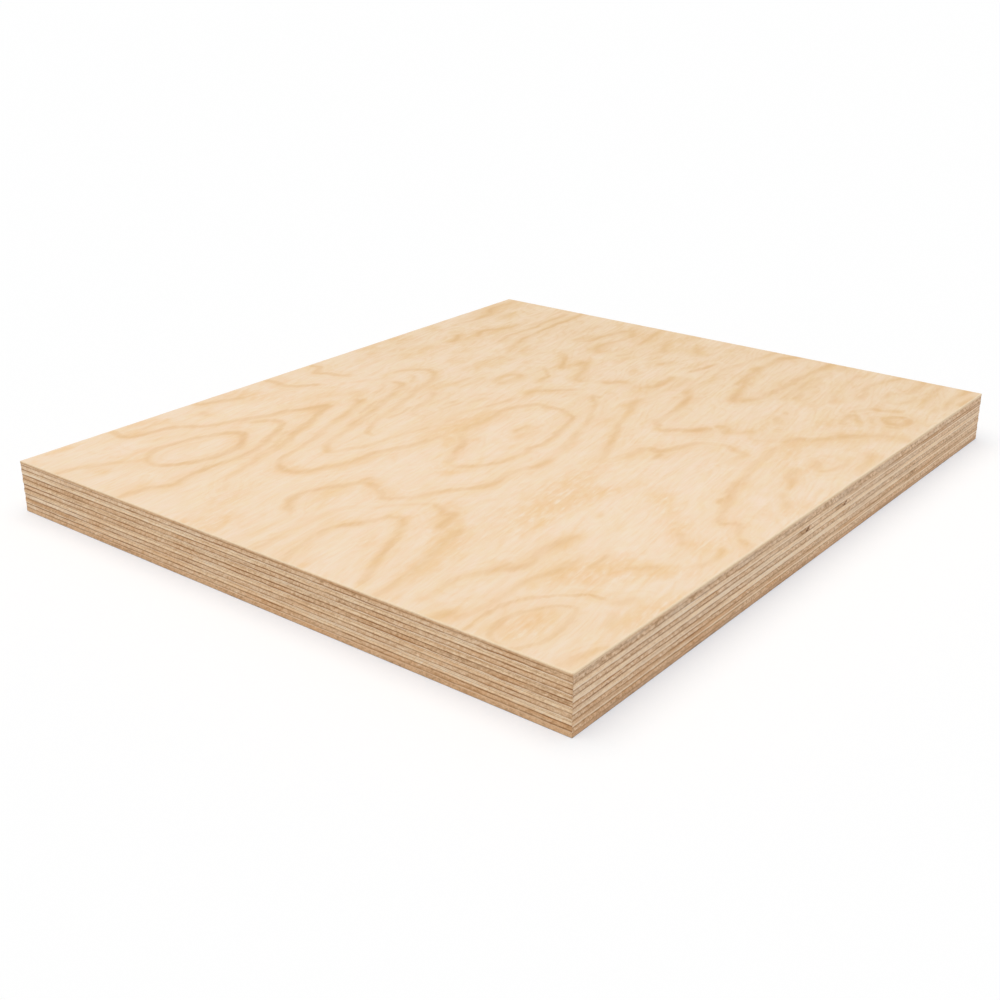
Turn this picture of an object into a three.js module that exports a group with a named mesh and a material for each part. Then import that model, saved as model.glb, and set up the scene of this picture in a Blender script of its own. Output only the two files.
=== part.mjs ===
// Plywood sheet: eleven rotary-cut veneers laid crosswise and glued face to face.
// Millimetres, +Z up. The sheet lies flat, with the middle of its underside at the origin.
// The face grain runs along X, the longer side. Plies are counted from the face down.

import * as THREE from 'three';

// ---- driving dimensions ------------------------------------------------------------------

const sheetLength = 350; // along the face grain, X
const sheetWidth = 300; // across the face grain, Y

const faceThickness = 1.2; // the sanded face veneer
const crossbandThickness = 2.8; // plies 2, 4, 6, 8 and 10, grain along Y
const coreThickness = 1.75; // plies 3, 5, 7 and 9, grain along X
const backThickness = 1.8; // the veneer underneath
const crossbandCount = 5; // a core veneer lies between each two of them

const arris = 0.3; // edge broken by sanding, all round the face and the back

// Open gaps between two strips of a crossband, where they come out at the front edge.
const gapPly = 4;
const gapWidth = 2.6; // at the mouth, along X
const gapDepth = 14; // inwards from the front edge
const gapSlant = 0.9; // sideways lean of the gap for each millimetre up
const gapCentres = [-11.4, 22.8]; // along X from the middle of the sheet

// ---- materials ---------------------------------------------------------------------------

const finishes = {
  face: { color: 0xf1dabc, roughness: 0.62 },
  crossband: { color: 0xb9976f, roughness: 0.85 },
  core: { color: 0xd9b78e, roughness: 0.78 },
  back: { color: 0xd8b185, roughness: 0.7 },
};

function woodMaterial(finish) {
  return new THREE.MeshStandardMaterial({ ...finish, metalness: 0 });
}

// ---- lay-up ------------------------------------------------------------------------------

// Levels lie on a grid of 1/1024 mm, which 32-bit numbers hold exactly, so that two plies
// share the very same plane where they are glued.
const levelGrid = 1024;

function onGrid(millimetres) {
  return Math.round(millimetres * levelGrid) / levelGrid;
}

// The plies from the face down: face, then crossbands with core veneers between them, back.
function layUp() {
  const plies = [{ kind: 'face', thickness: faceThickness }];
  for (let band = 1; band <= crossbandCount; band += 1) {
    plies.push({ kind: 'crossband', thickness: crossbandThickness });
    if (band < crossbandCount) {
      plies.push({ kind: 'core', thickness: coreThickness });
    }
  }
  plies.push({ kind: 'back', thickness: backThickness });
  return plies;
}

function plyName(kind, number) {
  const padded = String(number).padStart(2, '0');
  const names = {
    face: 'face_veneer',
    crossband: `crossband_${padded}`,
    core: `core_veneer_${padded}`,
    back: 'back_veneer',
  };
  return names[kind];
}

// ---- veneers -----------------------------------------------------------------------------

// A face or back veneer: a sawn rectangle whose outer edge is broken all round. The middle
// ring of corners stands at full size, and the outer ring is drawn in by the arris.
function outerVeneer(thickness, outerSide) {
  const geometry = new THREE.BoxGeometry(sheetLength, sheetWidth, thickness, 1, 1, 2);
  const corners = geometry.getAttribute('position');
  const outerZ = (outerSide * thickness) / 2;
  for (let i = 0; i < corners.count; i += 1) {
    const x = corners.getX(i);
    const y = corners.getY(i);
    if (corners.getZ(i) === 0) {
      corners.setZ(i, outerZ - outerSide * arris);
    } else if (corners.getZ(i) === Math.fround(outerZ)) {
      corners.setX(i, x - Math.sign(x) * arris);
      corners.setY(i, y - Math.sign(y) * arris);
    }
  }
  geometry.translate(0, 0, thickness / 2);
  return geometry;
}

// The outline of an inner veneer, with a pointed notch in its front side for each gap. Both
// cheeks of a notch are curved: it narrows slowly at first, then closes.
function innerOutline(gaps) {
  const front = -sheetWidth / 2;
  const outline = new THREE.Shape();
  outline.moveTo(-sheetLength / 2, front);
  for (const centre of gaps) {
    const tip = front + gapDepth;
    const bend = front + gapDepth * 0.6;
    outline.lineTo(centre - gapWidth / 2, front);
    outline.quadraticCurveTo(centre - gapWidth / 2, bend, centre, tip);
    outline.quadraticCurveTo(centre + gapWidth / 2, bend, centre + gapWidth / 2, front);
  }
  outline.lineTo(sheetLength / 2, front);
  outline.lineTo(sheetLength / 2, -front);
  outline.lineTo(-sheetLength / 2, -front);
  outline.closePath();
  return outline;
}

// An inner veneer is its outline at full thickness. The gaps lean sideways about their
// middle, and only their corners lie between the ends of the sheet.
function innerVeneer(thickness, gaps) {
  const geometry = new THREE.ExtrudeGeometry(innerOutline(gaps), {
    depth: thickness,
    bevelEnabled: false,
    curveSegments: 8,
  });
  const corners = geometry.getAttribute('position');
  for (let i = 0; i < corners.count; i += 1) {
    const x = corners.getX(i);
    if (Math.abs(x) < sheetLength / 2) {
      corners.setX(i, x + gapSlant * (corners.getZ(i) - thickness / 2));
    }
  }
  return geometry;
}

function veneerGeometry(kind, number, thickness) {
  if (kind === 'face') {
    return outerVeneer(thickness, 1);
  }
  if (kind === 'back') {
    return outerVeneer(thickness, -1);
  }
  return innerVeneer(thickness, number === gapPly ? gapCentres : []);
}

// ---- the sheet ---------------------------------------------------------------------------

function plywoodSheet() {
  const sheet = new THREE.Group();
  sheet.name = 'plywood_sheet';
  const plies = layUp();
  const total = plies.reduce((sum, ply) => sum + ply.thickness, 0);
  let depth = 0;
  plies.forEach(({ kind, thickness }, index) => {
    const number = index + 1;
    const top = onGrid(total - depth);
    depth += thickness;
    const bottom = onGrid(total - depth);
    const geometry = veneerGeometry(kind, number, top - bottom);
    const veneer = new THREE.Mesh(geometry, woodMaterial(finishes[kind]));
    veneer.name = plyName(kind, number);
    veneer.position.z = bottom;
    sheet.add(veneer);
  });
  return sheet;
}

export default plywoodSheet();
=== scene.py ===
import math

import bmesh
import bpy
import numpy as np
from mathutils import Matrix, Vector, noise


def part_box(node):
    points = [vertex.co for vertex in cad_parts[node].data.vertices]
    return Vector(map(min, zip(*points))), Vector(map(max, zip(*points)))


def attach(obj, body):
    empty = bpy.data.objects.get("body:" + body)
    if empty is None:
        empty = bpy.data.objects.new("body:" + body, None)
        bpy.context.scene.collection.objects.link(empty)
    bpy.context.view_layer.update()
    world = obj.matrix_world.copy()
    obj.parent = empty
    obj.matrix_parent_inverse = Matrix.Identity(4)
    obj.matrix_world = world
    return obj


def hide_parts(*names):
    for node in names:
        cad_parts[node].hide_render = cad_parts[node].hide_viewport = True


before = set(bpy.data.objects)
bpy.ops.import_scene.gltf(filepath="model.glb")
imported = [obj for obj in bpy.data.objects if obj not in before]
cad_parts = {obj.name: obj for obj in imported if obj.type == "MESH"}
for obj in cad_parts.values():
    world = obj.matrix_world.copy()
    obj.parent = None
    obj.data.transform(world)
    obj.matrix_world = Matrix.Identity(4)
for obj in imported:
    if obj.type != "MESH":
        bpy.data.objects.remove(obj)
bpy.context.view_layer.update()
print("frame loaded:", ", ".join(sorted(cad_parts)))

mm = 0.001  # everything below is given in millimetres, unless its note says otherwise


class Wire:
    # An output of a node. Sums, products and comparisons of wires add Math nodes.
    def __init__(self, board, socket):
        self.board = board
        self.socket = socket

    def out(self, name):
        return Wire(self.board, self.socket.node.outputs[name])

    def __add__(self, other):
        return self.board.calc("ADD", self, other)

    def __radd__(self, other):
        return self.board.calc("ADD", other, self)

    def __sub__(self, other):
        return self.board.calc("SUBTRACT", self, other)

    def __rsub__(self, other):
        return self.board.calc("SUBTRACT", other, self)

    def __mul__(self, other):
        return self.board.calc("MULTIPLY", self, other)

    def __rmul__(self, other):
        return self.board.calc("MULTIPLY", other, self)

    def __truediv__(self, other):
        return self.board.calc("DIVIDE", self, other)

    def __rtruediv__(self, other):
        return self.board.calc("DIVIDE", other, self)

    def __pow__(self, other):
        return self.board.calc("POWER", self, other)

    def __rpow__(self, other):
        return self.board.calc("POWER", other, self)

    def __gt__(self, other):
        return self.board.calc("GREATER_THAN", self, other)

    def __lt__(self, other):
        return self.board.calc("LESS_THAN", self, other)

    def __abs__(self):
        return self.board.calc("ABSOLUTE", self)


class Board:
    # A node tree, of a material or of geometry. add() makes any node.
    def __init__(self, tree):
        self.tree = tree
        self.tree.nodes.clear()

    def add(self, kind, settings=None, sockets=None):
        node = self.tree.nodes.new(kind)
        for name, value in (settings or {}).items():
            setattr(node, name, value)
        for key, value in (sockets or {}).items():
            for part in value if isinstance(value, list) else [value]:
                if isinstance(part, Wire):
                    self.tree.links.new(part.socket, node.inputs[key])
                else:
                    node.inputs[key].default_value = part
        shown = [socket for socket in node.outputs if socket.enabled]
        return Wire(self, shown[0]) if shown else None

    def calc(self, operation, *values):
        return self.add("ShaderNodeMath", {"operation": operation}, dict(enumerate(values)))

    def vector(self, operation, *values):
        return self.add("ShaderNodeVectorMath", {"operation": operation}, dict(enumerate(values)))

    def point(self, x=0.0, y=0.0, z=0.0):
        return self.add("ShaderNodeCombineXYZ", None, {"X": x, "Y": y, "Z": z})

    def split(self, place):
        parts = self.add("ShaderNodeSeparateXYZ", None, {0: place})
        return parts.out("X"), parts.out("Y"), parts.out("Z")

    def least(self, one, other):
        return self.calc("MINIMUM", one, other)

    def most(self, one, other):
        return self.calc("MAXIMUM", one, other)

    def ramp(self, value, start, end, low=0.0, high=1.0):
        # goes smoothly from low to high while value goes from start to end
        return self.add("ShaderNodeMapRange", {"interpolation_type": "SMOOTHSTEP"},
                        {0: value, 1: start, 2: end, 3: low, 4: high})

    def slope(self, value, start, end, low=0.0, high=1.0):
        # the same in a straight line
        return self.add("ShaderNodeMapRange", None,
                        {0: value, 1: start, 2: end, 3: low, 4: high})

    def fade(self, value):
        # 1 at nothing, and less and less as value grows
        return 2.718 ** (value * -1.0)

    def bell(self, value):
        # 1 at nothing, and less and less to both sides
        return self.fade(value ** 2.0)

    def blend(self, one, other, share):
        return one + (other - one) * share

    def weigh(self, parts, shares):
        # adds up the named parts, each by its share, and what stands under "plus"
        total = shares.get("plus", 0.0)
        for name in shares:
            if name != "plus":
                total = total + parts[name] * shares[name]
        return total

    def paint(self, one, other, share, way="MIX"):
        # mixes two colours, each a wire, a code such as "f1dabc", or four numbers
        one, other = (colour(c) if isinstance(c, str) else c for c in (one, other))
        return self.add("ShaderNodeMix", {"data_type": "RGBA", "blend_type": way},
                        {0: share, 6: one, 7: other})

    def noise(self, place, grain, detail=2.0, rough=0.5, seed=0.0):
        # centred on 0; grain is the size of its spots along each axis, and each seed takes
        # another part of the same noise
        shifted = self.vector("MULTIPLY_ADD", place, tuple(1 / g for g in grain),
                              (3.1 * seed, 5.7 * seed, 1.9 * seed))
        made = self.add("ShaderNodeTexNoise", None,
                        {"Vector": shifted, "Scale": 1.0, "Detail": detail, "Roughness": rough})
        return (made - 0.5) * 3.0

    def noises(self, place, kinds, *names):
        return {name: self.noise(place, *kinds[name]) for name in names or kinds}


def colour(code):
    # a colour as written on a screen, in Blender's own scale
    parts = [int(code[i:i + 2], 16) / 255 for i in (0, 2, 4)]
    return (*(p / 12.92 if p <= 0.04045 else ((p + 0.055) / 1.055) ** 2.4 for p in parts), 1.0)


def newMaterial(name, rough, gloss=0.35):
    material = bpy.data.materials.new(name)
    material.use_nodes = True
    board = Board(material.node_tree)
    shader = board.add("ShaderNodeBsdfPrincipled", None,
                       {"Roughness": rough, "Specular IOR Level": gloss})
    board.add("ShaderNodeOutputMaterial", None, {"Surface": shader})
    return material, board, shader


def finish(shader, tone, rough, height=None, relief=None):
    # links a finish to its shader; relief is how strong and how deep the bumps are
    board = shader.board
    wires = {"Base Color": tone, "Roughness": rough}
    if relief:
        strength, depth = relief
        wires["Normal"] = board.add("ShaderNodeBump", None, {
            "Strength": strength, "Distance": depth * mm, "Height": height})
    for name, wire in wires.items():
        board.tree.links.new(wire.socket, shader.socket.node.inputs[name])


def millimetres(board):
    place = board.add("ShaderNodeTexCoord").out("Object")
    return board.vector("MULTIPLY", place, (1 / mm,) * 3)


def newObject(name, data):
    made = bpy.data.objects.new(name, data)
    bpy.context.scene.collection.objects.link(made)
    return made


shot = {
    "place": (-486.12, -368.17, 245.50),
    "turn": (66.921, 0.203, -51.580),  # degrees
    "lens": 49.591,
    "sensor": 36.0,
    "clip": (10.0, 100000.0),
}
camera = newObject("camera", bpy.data.cameras.new("camera"))
camera.location = Vector(shot["place"]) * mm
camera.rotation_euler = [math.radians(a) for a in shot["turn"]]
camera.data.lens = shot["lens"]
camera.data.sensor_width = shot["sensor"]
camera.data.clip_start, camera.data.clip_end = (far * mm for far in shot["clip"])
bpy.context.scene.camera = camera

studio = {
    "floorSize": 24000.0,
    "floorDrop": 0.05,  # how far the floor lies under the sheet
    "floorShade": 0.88,
    "glow": 0.15,  # share of the floor's white that the camera sees without any light
    "shadowTint": (1.0, 0.86, 0.74),  # keeps the shadow neutral beside warm wood
    "sky": 0.40,
    "sun": 0.60,
    "sunHeight": 2000.0,
    "sunSpread": 75.0,  # degrees
    "sunLean": (-4.0, -6.0),  # degrees
}


def seenWhite(board):
    # 1 for what the camera sees itself, in a mirror or through glass, and 0 for plain light
    path = board.add("ShaderNodeLightPath")
    return board.most(board.most(path.out("Is Camera Ray"), path.out("Is Glossy Ray")),
                      path.out("Is Transmission Ray"))


def buildStudio():
    half, foot = studio["floorSize"] / 2 * mm, -studio["floorDrop"] * mm
    mesh = bpy.data.meshes.new("floor")
    corners = [(x * half, y * half, foot) for x, y in ((-1, -1), (1, -1), (1, 1), (-1, 1))]
    mesh.from_pydata(corners, [], [(0, 1, 2, 3)])
    floor = newObject("floor", mesh)
    material = bpy.data.materials.new("paleFloor")
    material.use_nodes = True
    board = Board(material.node_tree)
    seen = seenWhite(board)
    plain = board.add("ShaderNodeBsdfDiffuse", None,
                      {"Color": (*[studio["floorShade"]] * 3, 1.0)})
    lit = [(1.0 - studio["glow"]) * tint for tint in studio["shadowTint"]]
    bright = board.add("ShaderNodeBsdfDiffuse", None, {"Color": (*lit, 1.0)})
    glow = board.add("ShaderNodeEmission", None,
                     {"Color": (*[1.0 - part for part in lit], 1.0), "Strength": 1.0})
    shown = board.add("ShaderNodeAddShader", None, {0: bright, 1: glow})
    both = board.add("ShaderNodeMixShader", None, {0: seen, 1: plain, 2: shown})
    board.add("ShaderNodeOutputMaterial", None, {"Surface": both})
    mesh.materials.append(material)

    world = bpy.data.worlds.new("studio")
    bpy.context.scene.world = world
    world.use_nodes = True
    board = Board(world.node_tree)
    strength = studio["sky"] + (1.0 - studio["sky"]) * seenWhite(board)
    sky = board.add("ShaderNodeBackground", None,
                    {"Color": (1.0, 1.0, 1.0, 1.0), "Strength": strength})
    board.add("ShaderNodeOutputWorld", None, {"Surface": sky})

    lamp = bpy.data.lights.new("softbox", "SUN")
    lamp.energy = math.pi * studio["sun"]
    lamp.angle = math.radians(studio["sunSpread"])
    softbox = newObject("softbox", lamp)
    softbox.location = (0.0, 0.0, studio["sunHeight"] * mm)
    softbox.rotation_euler = [math.radians(a) for a in studio["sunLean"]] + [0.0]
    bpy.context.scene.view_settings.view_transform = "Standard"


buildStudio()
print("camera, floor and light set")


sheet = {
    "length": 350.0,
    "width": 300.0,
    "edgeStep": 0.7,  # between points along an edge
    "faceCell": 1.15,  # between points on the face
    "layers": 4,  # rows of faces over an edge's height
    "arris": 0.3,
    "softBelow": 40.0,  # degrees between faces, up to which they are shaded as one
}

gaps = {
    "node": "crossband_04",
    "centres": (-11.4, 22.8),
    "width": 2.6,
    "depth": 14.0,
    "bend": 0.6,  # where along its depth the sides of a gap bend inwards
    "steps": 12,  # points along a side
    "slant": 0.9,  # sideways lean for each millimetre up
    "leanReach": (15.0, 3.0),  # how far beside a gap the edge still gives way, and where fully
    "pinch": 0.97,  # share of its width that a gap loses at its top
    "pinchRise": (0.3, 0.9),  # from where to where up the ply
}

# Each ply, from the face down: how far it stands back from the sawn line, how rough its sawn edge
# is, and its arris at the foot and at the top. Then what it has of its own in colour: its shade
# and its warmth at the four ends of the two near edges (left end, corner, corner, right end), and
# lighter or darker stretches (edge, middle, half length, change). "spill" is how much of the pale
# of its neighbours spreads into a crossband, from above and from below, where it isn't all.
plies = [
    {"node": "face_veneer", "slot": "face_veneer", "back": 0.02, "rough": 0.05, "arris": (0.0, 1.0),
     "shades": (0.0, 0.1, 0.4, 1.0), "warmth": (0.2, 0.2, -0.5, -0.3)},
    {"node": "crossband_02", "slot": "crossband", "back": 0.07, "rough": 0.12, "spill": (0.0, 1.0),
     "shades": (0.5, 0.1, -0.4, -0.1), "warmth": (0.1, 0.1, -0.4, -0.3)},
    {"node": "core_veneer_03", "slot": "core_veneer", "back": 0.02, "rough": 0.06,
     "shades": (0.2, -0.4, -0.2, -1.2), "warmth": (0.1, 0.1, -0.3, -0.2),
     "stretches": [("front", -95.0, 30.0, 0.45)]},
    {"node": "crossband_04", "slot": "crossband", "back": 0.09, "rough": 0.12,
     "shades": (0.2, 0.0, -0.2, 0.1), "warmth": (0.1, 0.2, -0.2, -0.1),
     "stretches": [("left", 110.0, 14.0, -0.4), ("front", -17.5, 6.0, -0.9),
                   ("front", 17.5, 5.0, -0.8), ("front", -5.0, 5.0, 0.3)]},
    {"node": "core_veneer_05", "slot": "core_veneer", "back": 0.01, "rough": 0.06,
     "shades": (-0.4, -0.4, -0.2, -0.2), "warmth": (0.1, 0.2, -0.3, -0.3)},
    {"node": "crossband_06", "slot": "crossband", "back": 0.10, "rough": 0.13,
     "shades": (0.5, -0.5, 0.0, -0.1), "warmth": (0.2, 0.2, -0.1, -0.1)},
    {"node": "core_veneer_07", "slot": "core_veneer", "back": 0.02, "rough": 0.06,
     "shades": (-0.4, 0.0, -0.4, -0.5), "warmth": (0.2, 0.2, -0.2, -0.2),
     "stretches": [("left", 60.0, 70.0, 0.3), ("front", -20.0, 60.0, 0.45)]},
    {"node": "crossband_08", "slot": "crossband", "back": 0.08, "rough": 0.12,
     "shades": (0.15, 0.15, -0.2, -0.1), "warmth": (-0.2, 0.1, 0.2, 0.0),
     "stretches": [("left", 50.0, 20.0, -0.45), ("left", 126.0, 26.0, 0.9),
                   ("front", 94.0, 4.0, -0.7)]},
    {"node": "core_veneer_09", "slot": "core_veneer", "back": 0.03, "rough": 0.06,
     "shades": (-0.1, 0.0, -0.7, -0.7), "warmth": (0.5, 0.1, 0.4, 0.0),
     "stretches": [("left", 128.0, 24.0, -0.8)]},
    {"node": "crossband_10", "slot": "crossband", "back": 0.07, "rough": 0.10, "spill": (1.0, 0.4),
     "shades": (0.35, -0.2, -0.4, 0.2), "warmth": (0.0, 0.4, 0.3, 0.1)},
    {"node": "back_veneer", "slot": "back_veneer", "back": 0.03, "rough": 0.06,
     "arris": (0.15, 0.0),
     "shades": (-0.1, -0.2, -0.5, -0.5), "warmth": (0.2, 0.3, 0.1, 0.0)},
]


def outlinePoints(withGaps):
    # the sheet's outline, anticlockwise from its front left corner
    halfLength, halfWidth = sheet["length"] / 2, sheet["width"] / 2
    corners = [(-halfLength, -halfWidth)]
    tip, bend = gaps["depth"] - halfWidth, gaps["depth"] * gaps["bend"] - halfWidth
    steps = gaps["steps"]
    for centre in sorted(gaps["centres"]) if withGaps else []:
        mouths = (centre - gaps["width"] / 2, centre + gaps["width"] / 2)
        corners.append((mouths[0], -halfWidth))
        # in along one side to the tip, and out along the other
        for mouth, shares in ((mouths[0], [step / steps for step in range(1, steps + 1)]),
                              (mouths[1], [1 - step / steps for step in range(1, steps + 1)])):
            for t in shares:
                start, middle, end = (1 - t) ** 2, 2 * t * (1 - t), t * t
                corners.append((start * mouth + middle * mouth + end * centre,
                                start * -halfWidth + middle * bend + end * tip))
    corners += [(halfLength, -halfWidth), (halfLength, halfWidth), (-halfLength, halfWidth)]
    points = []
    for here, there in zip(corners, corners[1:] + corners[:1]):
        pieces = max(1, round(math.dist(here, there) / sheet["edgeStep"]))
        for i in range(pieces):
            points.append([(here[k] + (there[k] - here[k]) * i / pieces) * mm for k in (0, 1)])
    return points


def flatVeneer(name, dense, withGaps):
    mesh = bpy.data.meshes.new(name)
    if dense:
        across = round(sheet["length"] / sheet["faceCell"])
        down = round(sheet["width"] / sheet["faceCell"])
        shape = bmesh.new()
        bmesh.ops.create_grid(shape, x_segments=across, y_segments=down, size=0.5)
        for vert in shape.verts:
            vert.co.x *= sheet["length"] * mm
            vert.co.y *= sheet["width"] * mm
        shape.to_mesh(mesh)
        shape.free()
    else:
        points = outlinePoints(withGaps)
        mesh.from_pydata([(x, y, 0.0) for x, y in points], [], [list(range(len(points)))])
    return mesh


sawCut = {
    "join": 0.01,  # points nearer than this become one
    "touch": 0.02,  # how near the sawn line a point counts as on it
    "slack": 0.1,  # how far past a gap's tip its lean reaches
    "gapHalf": 0.51,  # just over half a gap's width, so that both its sides are within it
    "flat": 0.9,  # how far up or down a face looks that gets the face finish
    "seedStep": 17.0,
    "arrisReach": 0.3,  # how far down from the top, or up from the foot, an arris goes
    # the saw's own marks, long waves, and chips off the arris: size of their spots, detail,
    # roughness and seed, and then how strong each is
    "noises": {
        "saw": ((2.6, 2.6, 0.7), 3.0, 0.5, 1.0),
        "wave": ((40.0, 40.0, 9.0), 1.0, 0.5, 2.0),
        "chips": ((5.0, 5.0, 3.0), 3.0, 0.6, 3.0),
    },
    "marks": {"saw": 0.8, "wave": 0.6},
    "chipped": 0.4,
}


def sawnVeneerTree():
    # A flat veneer gets its thickness, an underside, and sawn edges that stand back a little.
    tree = bpy.data.node_groups.new("sawnVeneer", "GeometryNodeTree")
    keys = {}
    wanted = {
        "Geometry": ["Veneer"],
        "Float": ["Bottom", "Thickness", "Length", "Width", "Stand Back", "Roughness",
                  "Bottom Arris", "Top Arris", "Lean", "Seed"],
        "Material": ["Face Finish", "Edge Finish"],
    }
    for kind, names in wanted.items():
        for name in names:
            socket = tree.interface.new_socket(name=name, in_out="INPUT",
                                               socket_type="NodeSocket" + kind)
            keys[name] = socket.identifier
    tree.interface.new_socket(name="Sawn Veneer", in_out="OUTPUT",
                              socket_type="NodeSocketGeometry")
    board = Board(tree)
    given = board.add("NodeGroupInput")
    length, width = given.out("Length"), given.out("Width")
    low, thick = given.out("Bottom"), given.out("Thickness")
    top = board.add("GeometryNodeTransform", None,
                    {"Geometry": given.out("Veneer"), "Translation": board.point(z=low)})

    # the underside is one face inside the outline
    rim = board.calc("COMPARE", board.add("GeometryNodeInputMeshEdgeNeighbors"), 1.0, 0.1)
    outline = board.add("GeometryNodeMeshToCurve", None, {"Mesh": top, "Selection": rim})
    under = board.add("GeometryNodeFillCurve", {"mode": "NGONS"}, {"Curve": outline})
    faceUp = board.split(board.add("GeometryNodeInputNormal"))[2] > 0.0
    under = board.add("GeometryNodeFlipFaces", None, {"Mesh": under, "Selection": faceUp})

    body, raised = top, True
    up = board.point(z=thick / sheet["layers"])
    for layer in range(sheet["layers"]):
        sockets = {"Mesh": body, "Offset": up, "Offset Scale": 1.0, "Individual": False}
        if layer:
            sockets["Selection"] = raised
        pushed = board.add("GeometryNodeExtrudeMesh", {"mode": "FACES"}, sockets)
        body, raised = pushed.out("Mesh"), pushed.out("Top")
    joined = board.add("GeometryNodeJoinGeometry", None, {"Geometry": [body, under]})
    closed = board.add("GeometryNodeMergeByDistance", None,
                       {"Geometry": joined, "Distance": sawCut["join"] * mm})

    # which way each point of the edge faces, and how far it stands back
    x, y, z = board.split(board.add("GeometryNodeInputPosition"))
    touch, reach = sawCut["touch"] * mm, sawCut["arrisReach"] * mm
    onX = (abs(x) * 2.0 > length - touch) * board.calc("SIGN", x)
    onY = (abs(y) * 2.0 > width - touch) * board.calc("SIGN", y)
    seeded = board.point(x / mm, y / mm, z / mm + given.out("Seed") * sawCut["seedStep"])
    marks = board.noises(seeded, sawCut["noises"])
    chips = marks["chips"] * sawCut["chipped"] + 1.0
    for name in sawCut["marks"]:
        marks[name] = marks[name] * 0.5 + 0.5
    cut = board.weigh(marks, sawCut["marks"])
    back = given.out("Stand Back") + given.out("Roughness") * cut
    atTop = board.ramp(z, low + thick - reach, low + thick)
    atFoot = board.ramp(z, low + reach, low)
    wornAndHighlight = (given.out("Top Arris") * atTop + given.out("Bottom Arris") * atFoot) * chips
    inset = board.most(back + wornAndHighlight, 0.0)
    # a gap leans sideways, and the points beside its mouth give way to it
    lean = (z - low - thick * 0.5) * given.out("Lean")
    beside = [x - centre * mm for centre in gaps["centres"]]
    far, full = (step * mm for step in gaps["leanReach"])
    nearGap = board.most(*(board.ramp(abs(aside), far, full) for aside in beside))
    leaning = nearGap * (y < width * -0.5 + (gaps["depth"] + sawCut["slack"]) * mm)
    # and it narrows towards its top
    half = gaps["width"] * mm * sawCut["gapHalf"]
    aside = [off * (abs(off) < half) for off in beside]
    start, end = (low + thick * share for share in gaps["pinchRise"])
    pinch = board.ramp(z, start, end) * (given.out("Lean") > 0.0) * gaps["pinch"]
    move = board.point(onX * inset * -1.0 + lean * leaning - (aside[0] + aside[1]) * pinch,
                       onY * inset * -1.0)
    sawn = board.add("GeometryNodeSetPosition", None, {"Geometry": closed, "Offset": move})

    real = board.add("GeometryNodeRealizeInstances", None, {"Geometry": sawn})
    edged = board.add("GeometryNodeSetMaterial", None,
                      {"Geometry": real, "Material": given.out("Edge Finish")})
    flat = abs(board.split(board.add("GeometryNodeInputNormal"))[2]) > sawCut["flat"]
    done = board.add("GeometryNodeSetMaterial", None,
                     {"Geometry": edged, "Selection": flat, "Material": given.out("Face Finish")})
    board.add("NodeGroupOutput", None, {0: done})
    return tree, keys


sawnVeneer, sawnKeys = sawnVeneerTree()


def buildVeneer(ply, number, faceFinish, edgeFinish):
    low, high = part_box(ply["node"])
    withGaps = ply["node"] == gaps["node"]
    start = flatVeneer(ply["node"] + "Flat", ply["node"] == "face_veneer", withGaps)
    piece = newObject(ply["node"] + "_sawn", start)
    atFoot, atTop = ply.get("arris", (0.0, 0.0))
    modifier = piece.modifiers.new("sawnVeneer", "NODES")
    modifier.node_group = sawnVeneer
    values = {
        "Bottom": low.z, "Thickness": high.z - low.z,
        "Length": sheet["length"] * mm, "Width": sheet["width"] * mm,
        "Stand Back": ply["back"] * mm, "Roughness": ply["rough"] * mm,
        "Bottom Arris": atFoot * sheet["arris"] * mm, "Top Arris": atTop * sheet["arris"] * mm,
        "Lean": gaps["slant"] if withGaps else 0.0, "Seed": float(number),
        "Face Finish": faceFinish, "Edge Finish": edgeFinish,
    }
    for name, value in values.items():
        modifier[sawnKeys[name]] = value
    bpy.context.view_layer.update()
    graph = bpy.context.evaluated_depsgraph_get()
    mesh = bpy.data.meshes.new_from_object(piece.evaluated_get(graph))
    piece.modifiers.clear()
    piece.data = mesh
    mesh.name = ply["node"]
    mesh.shade_smooth()
    mesh.set_sharp_from_angle(angle=math.radians(sheet["softBelow"]))
    return piece


# Finish of the sawn edges. Each kind of ply has its own colour, and a darker and a lighter one for
# its grain. Then how mottled and how streaky that grain is, and how strong its dark vein.
edgeTones = {
    "face_veneer": {"own": "dcb48a", "light": "f3d7ae", "dark": "a3754a",
                    "mottle": 0.5, "streak": 0.6, "vein": 0.0},
    "crossband": {"own": "e5c098", "light": "ffe7c8", "dark": "ab8158",
                  "mottle": 1.0, "streak": 0.6, "vein": 0.0},
    "core_veneer": {"own": "fcddb5", "light": "fff4e0", "dark": "c0946a",
                    "mottle": 0.5, "streak": 1.0, "vein": 0.38},
    "back_veneer": {"own": "e8c097", "light": "fbdfb8", "dark": "a9825c",
                    "mottle": 0.6, "streak": 0.8, "vein": 0.0},
}

# Size of the spots along the edge, across it and upwards, then detail, roughness and seed.
edgeNoises = {
    "streak": ((60.0, 9.0, 1.1), 3.0, 0.6, 1.0),
    "hair": ((22.0, 9.0, 0.6), 2.0, 0.5, 2.0),
    "mottle": ((2.6, 9.0, 1.3), 3.0, 0.7, 3.0),
    "blotch": ((9.0, 9.0, 1.8), 3.0, 0.6, 7.0),
    "drift": ((60.0, 9.0, 4.0), 1.0, 0.5, 5.0),
    "fleck": ((1.0, 9.0, 0.8), 2.0, 0.7, 12.0),
    "hue": ((20.0, 9.0, 2.4), 3.0, 0.6, 8.0),
    "patchy": ((16.0, 9.0, 30.0), 3.0, 0.6, 6.0),
}
checkNoise = ((1.5, 9.0, 5.0), 2.0, 0.5, 4.0)

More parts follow.
